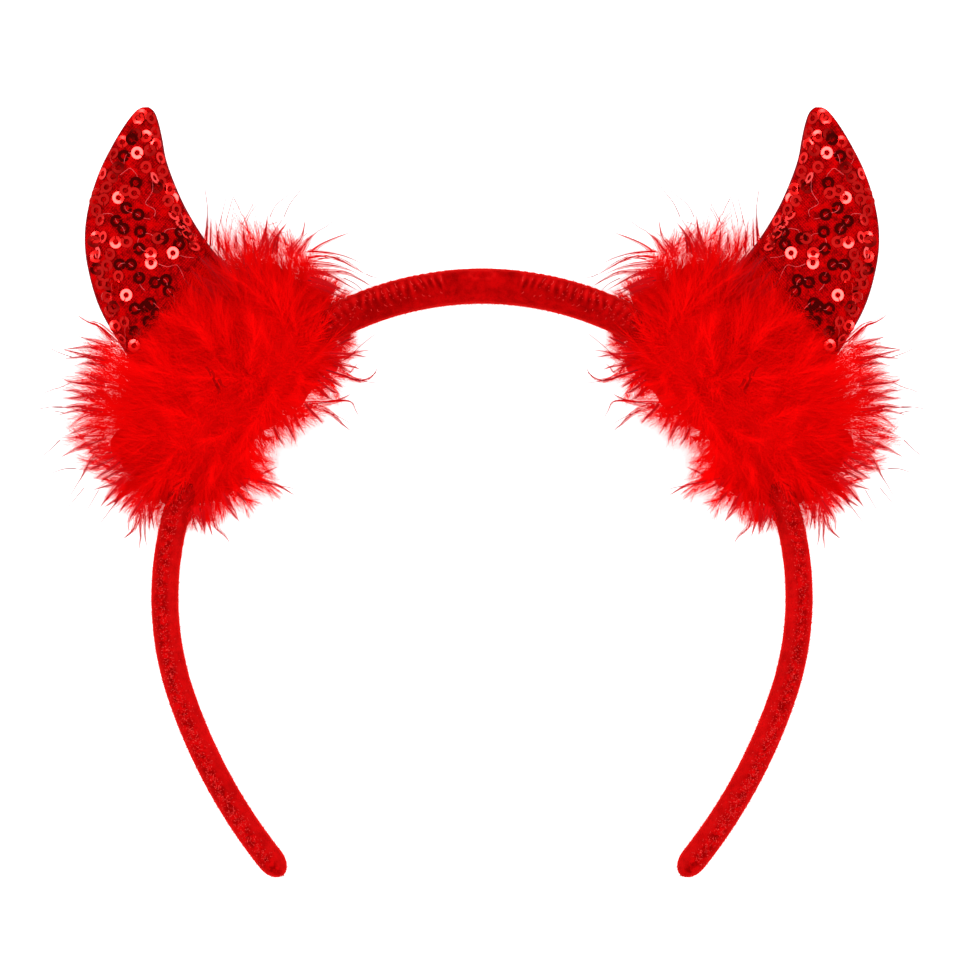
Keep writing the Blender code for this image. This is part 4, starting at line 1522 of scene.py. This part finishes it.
# Pointed tufts and single hairs at the border of the down on the left side: half the tuft's width
# at its root, in pixels, and then the x and y of the points of its route in the photograph. Those of
# no width are single hairs.
TUFTS = (
    (8, 240, 290, 222, 264, 207, 245), (8, 232, 292, 212, 270, 197, 255),
    (6, 246, 286, 230, 260, 218, 243), (7, 222, 298, 202, 281, 189, 267),
    (6, 236, 284, 220, 262, 211, 250), (6, 216, 304, 196, 290, 184, 279),
    (6, 230, 286, 214, 268, 204, 254), (5, 232, 280, 222, 260, 213, 246),
    (5, 252, 284, 244, 262, 238, 246), (5, 262, 284, 256, 262, 252, 247),
    (1.5, 206, 243, 207.5, 222, 207, 205), (0, 206, 236, 207.5, 211, 206, 196, 203.7, 182.5),
    (1.5, 211, 246, 210.8, 232, 211, 216), (1.5, 219, 248, 217.5, 236, 215.6, 221),
    (2.5, 218.5, 252, 218.5, 240, 218.7, 227.5), (0, 219.4, 226, 223.7, 207.5, 227.5, 192.5),
    (2.5, 228, 252, 225.6, 242.5, 223.7, 233), (0, 226, 222, 231, 204, 234, 196, 242.5, 184),
    (0, 234, 198.7, 238, 206, 242.5, 217), (2.5, 236, 249, 236, 241, 236, 231),
    (2.5, 246, 252, 244.5, 240, 243, 225), (0, 242, 225, 248.7, 212.5, 255, 200),
    (0, 245.6, 226, 250, 213.7, 262.5, 198.7), (2, 255, 252, 253.5, 245, 252, 237),
    (4, 259, 254, 262, 243, 265.5, 230, 268, 212), (3, 268, 252, 266, 236, 267, 221),
    (3.5, 264, 256, 270, 242.5, 276, 230, 284, 216.5), (2.5, 272, 254, 277, 236, 289, 221),
    (0, 284, 217, 290, 203.7, 300, 191, 308, 180), (2, 276, 252, 277, 243, 280, 232),
    (0, 270, 217, 275, 206, 280.6, 201, 290, 193.7, 305, 181), (0, 268.7, 225, 276, 222.5, 282, 220),
    (0, 276, 237, 282.5, 232, 285.6, 234, 285, 246), (2, 289, 254, 291, 248, 292, 238),
    (3, 289, 254, 296, 245, 302.5, 236, 305.6, 218), (4, 298, 254, 307.5, 241, 320, 229.5),
    (0, 318, 231, 330, 223.7, 343.7, 207.5), (0, 303.7, 236, 309, 232, 315, 231),
    (1, 312, 251, 322.5, 243.7, 340, 236, 360, 229.4), (1.5, 308, 251, 330, 252.5, 350, 258, 368, 267),
    (2, 308, 258, 325, 256, 341, 260, 357.5, 270, 370, 276),
    (0, 318, 259, 336, 257, 352, 264, 366, 276), (2.5, 306, 263, 333.7, 265, 350, 270, 364, 277),
    (2.5, 310, 268, 330, 275, 341, 281, 359.4, 291.5),
    (2.5, 308, 272, 337.5, 271, 352.5, 275, 374, 288), (3.5, 308, 280, 330, 286, 341, 292, 351, 296),
    (3, 310, 277, 325, 281, 338, 288, 352, 292), (0, 343.7, 278, 355, 283.7, 363, 291),
    (0, 366, 274, 373, 277, 380, 277), (4, 312, 286, 326, 291, 338, 296, 348, 300),
    (3.5, 332, 350, 340, 344, 347.5, 340, 358, 336), (0, 350, 356, 358.7, 347.5, 367.5, 340, 378, 332),
    (3.5, 330, 353, 343.7, 353.7, 353.7, 355, 370, 357.5),
    (3.5, 330, 362, 343, 360, 356, 352, 372, 350),
    (2.5, 328, 364, 342, 368, 350, 373, 354, 368, 362.5, 358.7),
    (3, 326, 356, 340, 364, 350, 366, 362, 370),
    (4, 326, 370, 340, 374, 352.5, 378.7, 362.5, 380.6, 373.7, 375, 378.7, 364),
    (0, 356, 379, 368, 382, 381, 382), (4, 318, 380, 328, 388, 341, 395),
    (3.5, 322, 376, 334, 382, 344, 388), (3.5, 316, 386, 326, 396, 338, 402),
    (4, 308, 404, 327.5, 402.5, 341, 399.4, 353.7, 392), (1, 330, 401, 350, 401, 355, 408.7, 361, 420),
    (3.5, 308, 404, 322.5, 408.7, 333.7, 415, 342.5, 423.7, 354, 434),
    (0, 333, 414, 343, 419, 352.5, 425), (2.5, 305, 404, 311, 411, 318.7, 418.7, 324, 425),
    (2.5, 300, 406, 303, 415, 305, 424), (3, 294, 414, 298, 424, 306, 436),
    (3, 284, 420, 290, 430, 296, 444), (3, 274, 428, 280, 440, 286, 450),
    (4.5, 244, 476, 258, 475, 270, 470, 280, 466), (3, 244, 478, 267, 482.9, 280, 486.4, 298.6, 498),
    (0, 278, 486, 287, 487, 296, 489.5), (2.5, 240, 480, 247, 484, 260, 490, 268, 494.5),
    (2.5, 240, 482, 246, 489, 250, 496), (3, 234, 490, 241.4, 497, 248, 506.5),
    (3, 224, 494, 232, 506, 238, 516), (3, 226, 500, 232, 511, 241, 524),
    (4, 210, 504, 213.5, 514, 217, 528, 225.7, 535.7, 231, 546), (2.5, 190, 512, 195, 526, 199, 535),
    (4, 200, 508, 203, 522, 205, 536), (3.5, 206, 508, 209, 522, 213, 538),
    (3, 196, 508, 198, 518, 202, 530), (1.5, 150, 504, 152.5, 520, 154.6, 533),
    (3, 142, 504, 144.3, 524, 145, 537, 147, 548), (3, 140, 504, 140, 527, 140.7, 540, 138, 554),
    (3.5, 142, 500, 131.4, 517, 128.6, 524, 129.5, 534),
    (3.5, 140, 508, 134.3, 528.6, 125.7, 537, 120.7, 541), (3, 148, 504, 149, 516, 150, 536),
    (4, 134, 494, 124, 505, 118, 515), (4, 130, 488, 116, 500, 102, 508),
    (0, 118, 499, 108, 513, 98, 526), (3.5, 134, 468, 115.7, 473, 105.7, 478.6, 98, 484),
    (4, 130, 474, 112, 484, 91, 490.6), (4, 132, 482, 122, 494, 112.5, 508.7),
    (4, 124, 480, 107.5, 497.5, 99, 509), (0, 98.7, 490, 90, 505, 82.5, 517.5),
    (0, 84, 488, 74, 500, 65, 511), (4, 117, 342, 100, 326, 90, 322.5, 82.5, 318.7, 73.7, 312.5),
    (3.5, 112, 348, 97.5, 342.5, 88.7, 340, 77, 336), (4, 112, 354, 96, 348, 80, 348, 60, 350),
    (3.5, 110, 360, 85, 355, 70, 351, 61, 349.4), (3.5, 108, 362, 90, 357, 70, 358, 61, 359),
    (0, 72, 357, 60, 353, 47.5, 347), (3.5, 106, 367, 96, 364, 84, 363, 74, 366),
    (4.5, 106, 382, 94, 378, 84, 374, 73, 372.5), (3.5, 104, 386, 90, 384, 72.5, 382.5, 61, 377.5),
    (0, 72, 382, 60, 387.5, 51, 390, 43.7, 393.7, 38, 394), (4, 106, 398, 86, 393, 72.5, 391, 60, 390),
    (4, 104, 396, 86, 397, 72.5, 398, 58, 398),
    (4.5, 106, 410, 86, 407.5, 76, 406, 62.5, 407.5, 47, 407), (0, 62, 407, 50, 407, 35, 410),
    (3.5, 102, 412, 84, 410, 67.5, 412.5, 56, 416), (0, 64, 413, 54, 411, 42, 411.5),
    (3.5, 106, 416, 88, 415, 77.5, 421, 66, 430), (4.5, 106, 427, 88, 428, 77.5, 430.6, 66, 436),
    (3.5, 104, 436, 84, 437, 72, 438, 58, 437), (4, 106, 438, 88, 445, 72.5, 451, 58, 459),
    (4, 106, 444, 94, 449, 84, 457), (4, 112, 452, 97.5, 456, 90, 462.5, 83.7, 473.7, 79, 483),
    (0, 84, 473, 76, 486, 69, 498), (0, 76, 468.7, 63.7, 469, 50, 474),
    (0, 60, 440, 48.7, 451, 38, 459), (4, 116, 456, 102, 464, 88, 470, 76, 468),
    (4, 120, 462, 106, 472, 92, 480),
)
# Dark strokes where dark spots show between the feathers: the x and y of the points of their routes.
DARK_STROKES = (
    (206, 367, 209, 371, 211, 377), (213, 378, 217, 386, 221, 390), (216, 384, 219, 390, 218, 394),
    (219, 379, 222, 385, 226, 387), (236, 339, 239, 344, 238, 349), (211, 371, 214, 375, 213, 381),
)
DARK_STROKE_HEIGHT = 20.5 * MM
TUFT_HEIGHT = (4.5 * MM, 2.6 * MM)  # mean and scatter above the plane of the band
ROUTE_STEPS = 6
TUFT_STEPS = 8
TUFT_FIBRES = (6, 4.5)  # on a tuft, and more of them for each pixel of its width
TUFT_REACH = (0.45, 1.0)
TUFT_SPREAD = 0.75
TUFT_OPEN = (1.2, 0.16)  # how fast a tuft's fibres meet, and how far apart some of them end
TUFT_THINNING = (0.5, 0.7, 1.1)  # share lost at the tip, thinnest and thickest
# Columns: group, width, mean and scatter of its tone, where on its material's colours it starts.
STRAND_KINDS = (
    ("tufts", 0.12 * MM, (0.45, 0.3), 0.2),
    ("hairs", 0.2 * MM, (0.4, 0.2), 0.1),
    ("dark_strokes", 0.8 * MM, (0.4, 0.2), 0.1),
)


def make_tufts(chance):
    """The tufts, hairs and dark strokes, each as (paths, widths, facing, tone, start share).

    The middle strand of each tuft is one of the hairs.
    """
    groups = {"tufts": [], "hairs": [], "dark_strokes": []}
    shares = np.linspace(0, 1, TUFT_STEPS)
    rows = [("hairs", spread, chance.normal(*TUFT_HEIGHT), pixels) for spread, *pixels in TUFTS]
    rows += [("dark_strokes", 0, DARK_STROKE_HEIGHT, pixels) for pixels in DARK_STROKES]
    power, ends_apart = TUFT_OPEN
    for group, spread, level, pixels in rows:
        route = photo_route(pixels, level, ROUTE_STEPS)
        length = lengths_along(route)[-1]
        fibres = int(TUFT_FIBRES[0] + TUFT_FIBRES[1] * spread) if spread else 0
        for number in range(fibres + 1):
            places = shares * (chance.uniform(*TUFT_REACH) if number else 1.0)
            offset = chance.normal(0, TUFT_SPREAD, 3) * spread * PHOTO_SCALE * (number > 0)
            loose = (1 - places[:, None]) ** power + chance.uniform(0, ends_apart)
            made = np.column_stack([on_route(route, places * length), np.full(TUFT_STEPS, level)])
            groups["tufts" if number else group].append(made + offset * loose)
    made = []
    lost, *thickness = TUFT_THINNING
    for name, width, tone, start in STRAND_KINDS:
        paths = np.array(groups[name])
        paths = above_floor(clear_of_horn(paths, paths[:, 0]))
        widths = width * (1 - lost * shares) * chance.uniform(*thickness, (len(paths), 1))
        tones = np.clip(chance.normal(*tone, len(paths)), 0, 1)
        facing = np.broadcast_to(UPWARDS, paths.shape)
        made.append((paths, widths, facing, tones, np.full(len(paths), start)))
    return made


def down_map(shares, tone, start, each):
    """(u, v) of each point of the ribbons: the tone, and how far out it lies."""
    v = np.repeat(start, each)
    return np.stack([np.repeat(tone, each), v + (1 - v) * shares * MAP_REACH], -1)


MAP_REACH = 0.6  # share of the way to the tip's colour that a ribbon ends at
CORE_SHARE = 0.58
CORE_SIDES = 40
CORE_RINGS = 90
CORE_LUMPS = (3.5, 12, 0.13)  # degrees along the band to a lump, lumps round it, share of the size
CORE_ENDS = (5.0, 0.35)  # degrees that it thins over, and the share left at its ends
CORE_MAP = (0.4, 0.2, 0.25)  # mean tone, how far it varies, how far out it counts as


def make_core(made_of, side, label):
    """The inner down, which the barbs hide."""
    angles = np.radians(np.linspace(*DOWN_SPAN, CORE_RINGS))[:, None]
    turns = (2 * math.pi * np.arange(CORE_SIDES) / CORE_SIDES)[None]
    angle, turn = np.broadcast_arrays(angles, turns)
    degrees = np.degrees(angle)
    along, around, lumpy = CORE_LUMPS
    lumps = value_noise(degrees / along, turn * around / (2 * math.pi), SEEDS["core"], around)
    fades, left = CORE_ENDS
    ends = smooth_step(0, fades, degrees - DOWN_SPAN[0])
    ends = ends * smooth_step(0, fades, DOWN_SPAN[1] - degrees)
    share = CORE_SHARE * (1 + lumpy * lumps) * (left + (1 - left) * ends)
    points = down_point(angle, turn, share)
    flat = points.reshape(-1, 3)
    flat = above_floor(clear_of_horn(flat[None], np.array([[0, 0, 1.0]]))[0])
    tone, varies, out = CORE_MAP
    uv = np.stack([tone + varies * lumps.ravel(), np.full(len(flat), out)], -1)
    faces = grid_faces(CORE_RINGS, CORE_SIDES, around=True)
    return new_piece(
        f"marabou_{label}_core", flat, faces, made_of, side, uv=("OFBake", uv)
    )


def make_marabou(down, tips, hair, dark_stroke):
    """Both trims: packed down, barbs in three pieces, wisps, tufts, hairs and dark strokes."""
    chance = np.random.default_rng(SEEDS["down"])
    barbs = make_feathers(chance)
    wisps = make_wisps(chance)
    tufts, hairs, dark_strokes = make_tufts(chance)
    strands = [
        (f"down_{letter}", [values[k::3] for values in barbs], down)
        for k, letter in enumerate("abc")
    ]
    strands += [("wisps", wisps, down), ("tufts", tufts, tips)]
    strands += [("hairs", hairs, hair), ("dark_strokes", dark_strokes, dark_stroke)]
    parts = []
    for name, (paths, widths, facing, tone, start), made_of in strands:
        points, faces, shares = ribbons(paths, widths, facing)
        uv = down_map(shares, tone, start, len(points) // len(paths))
        parts.append((name, points, faces, uv, made_of))
    for side, label in SIDES:
        core = make_core(down, side, label)
        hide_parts(f"marabou_{label}")
        for name, points, faces, uv, made_of in parts:
            new_piece(
                f"marabou_{label}_{name}",
                points,
                faces,
                made_of,
                side,
                uv=("OFBake", uv),
            )


# Setting


WHITE_RADIANCE = 1.15
DARK_RADIANCE = 0.12
DARK_ABOVE = (17.0, 27.0)  # degrees round the camera's direction between which the sky brightens
LAMP_SIZE = 0.24
LAMP_RADIANCE = 34.0
FLOOR_SIZE = 6.0
CAMERA_CLIP = (0.05, 30.0)


def make_floor():
    """A plain white floor, large enough to fill every view."""
    made, _, _ = new_material(
        "floor_white",
        (
            ("Roughness", 0.9),
            ("Specular IOR Level", 0.0),
            ("Base Color", rgba(0.9, 0.9, 0.9)),
            ("Emission Color", rgba(1.0, 1.0, 1.0)),
            ("Emission Strength", 0.6),
        ),
    )
    mesh = bpy.data.meshes.new("floor")
    shape = bmesh.new()
    bmesh.ops.create_grid(shape, x_segments=1, y_segments=1, size=FLOOR_SIZE)
    shape.to_mesh(mesh)
    shape.free()
    mesh.materials.append(made)
    floor = new_object("floor", mesh)
    floor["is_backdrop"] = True


def make_world():
    """An even white sky with a dark patch behind the camera, which flat sequins mirror."""
    world = bpy.data.worlds.new("studio")
    bpy.context.scene.world = world
    world.use_nodes = True
    tree = world.node_tree
    direction = node(tree, "ShaderNodeTexCoord").outputs["Generated"]
    axis = PLANE.to_3x3() @ Vector((0, 0, 1))
    towards = node(
        tree, "ShaderNodeVectorMath", ((0, direction), (1, tuple(axis))), operation="DOT_PRODUCT"
    ).outputs["Value"]
    inner, outer = (math.cos(math.radians(angle)) for angle in DARK_ABOVE)
    strength = ranged(tree, towards, outer, inner, WHITE_RADIANCE, DARK_RADIANCE)
    background = tree.nodes["Background"]
    tree.links.new(strength, background.inputs["Strength"])
    background.inputs["Color"].default_value = rgba(1.0, 1.0, 1.0)


def make_lamp(name, place, target, size, radiance):
    """A square soft lamp that faces the target. Its power follows from its radiance."""
    data = bpy.data.lights.new(name, "AREA")
    data.shape = "SQUARE"
    data.size = size
    data.energy = radiance * math.pi * size * size
    lamp = new_object(name, data)
    lamp.location = PLANE @ Vector(place)
    towards = (PLANE @ Vector(target)) - lamp.location
    lamp.rotation_euler = towards.to_track_quat("-Z", "Y").to_euler()
    lamp.visible_camera = False


def make_camera():
    """The camera of the photograph, square on to the plane of the band."""
    data = bpy.data.cameras.new("camera")
    camera = new_object("camera", data)
    data.sensor_width = SENSOR
    data.lens = SENSOR * CAMERA_HEIGHT / (PHOTO_SIDE * PHOTO_SCALE)
    data.clip_start, data.clip_end = CAMERA_CLIP
    camera.matrix_world = PLANE @ Matrix.Translation(CAMERA)
    bpy.context.scene.camera = camera


def main():
    """Makes the camera, the setting and every piece."""
    bpy.context.scene.view_settings.view_transform = "Standard"
    make_camera()
    make_floor()
    make_world()
    for side in (1, -1):
        make_lamp(f"lamp_{side + 1}", lamp_place(side), (0, 0, 0), LAMP_SIZE, LAMP_RADIANCE)
    stitches_and_glints, fine, pile = (
        fibre_material(*row)
        for row in (
            # The stitch thread: partly painted highlight on the puffs, and the painted glints in the
            # pile.
            ("stitch_thread_and_glints", 0.5, 0.08, 1500.0, (0.55, 0.01, 0.01), (0.8, 0.035, 0.03)),
            ("fine_thread", 0.5, 0.08, 1500.0, (0.55, 0.03, 0.035), (0.8, 0.1, 0.105)),
            ("velvet_pile", 0.9, 0.03, 700.0, (0.4, 0.001, 0.002), (0.58, 0.003, 0.004)),
        )
    )
    make_band(velvet_material(), pile, stitches_and_glints)
    make_horns(knit_material(), felt_material(), sequin_material(), fine)
    made = [
        down_material(f"marabou_{name}", deep, tip)
        for name, deep, tip in (
            ("down", (0.975, 0.001, 0.001), (0.955, 0.002, 0.002)),
            # The tufts darken towards their ends: the fine ends' own darker red, deepened as painted
            # shade among the tufts.
            ("tips", (0.96, 0.002, 0.003), (0.5, 0.012, 0.02)),
            ("hair", (0.2, 0.004, 0.01), (0.2, 0.04, 0.05)),
            ("dark_stroke", (0.42, 0.001, 0.001), (0.5, 0.001, 0.001)),
        )
    ]
    make_marabou(*made)


main()
boxes = {"cad": CAD_BOX, "visual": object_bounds()}
{name: [list(corner) for corner in box] for name, box in boxes.items()}
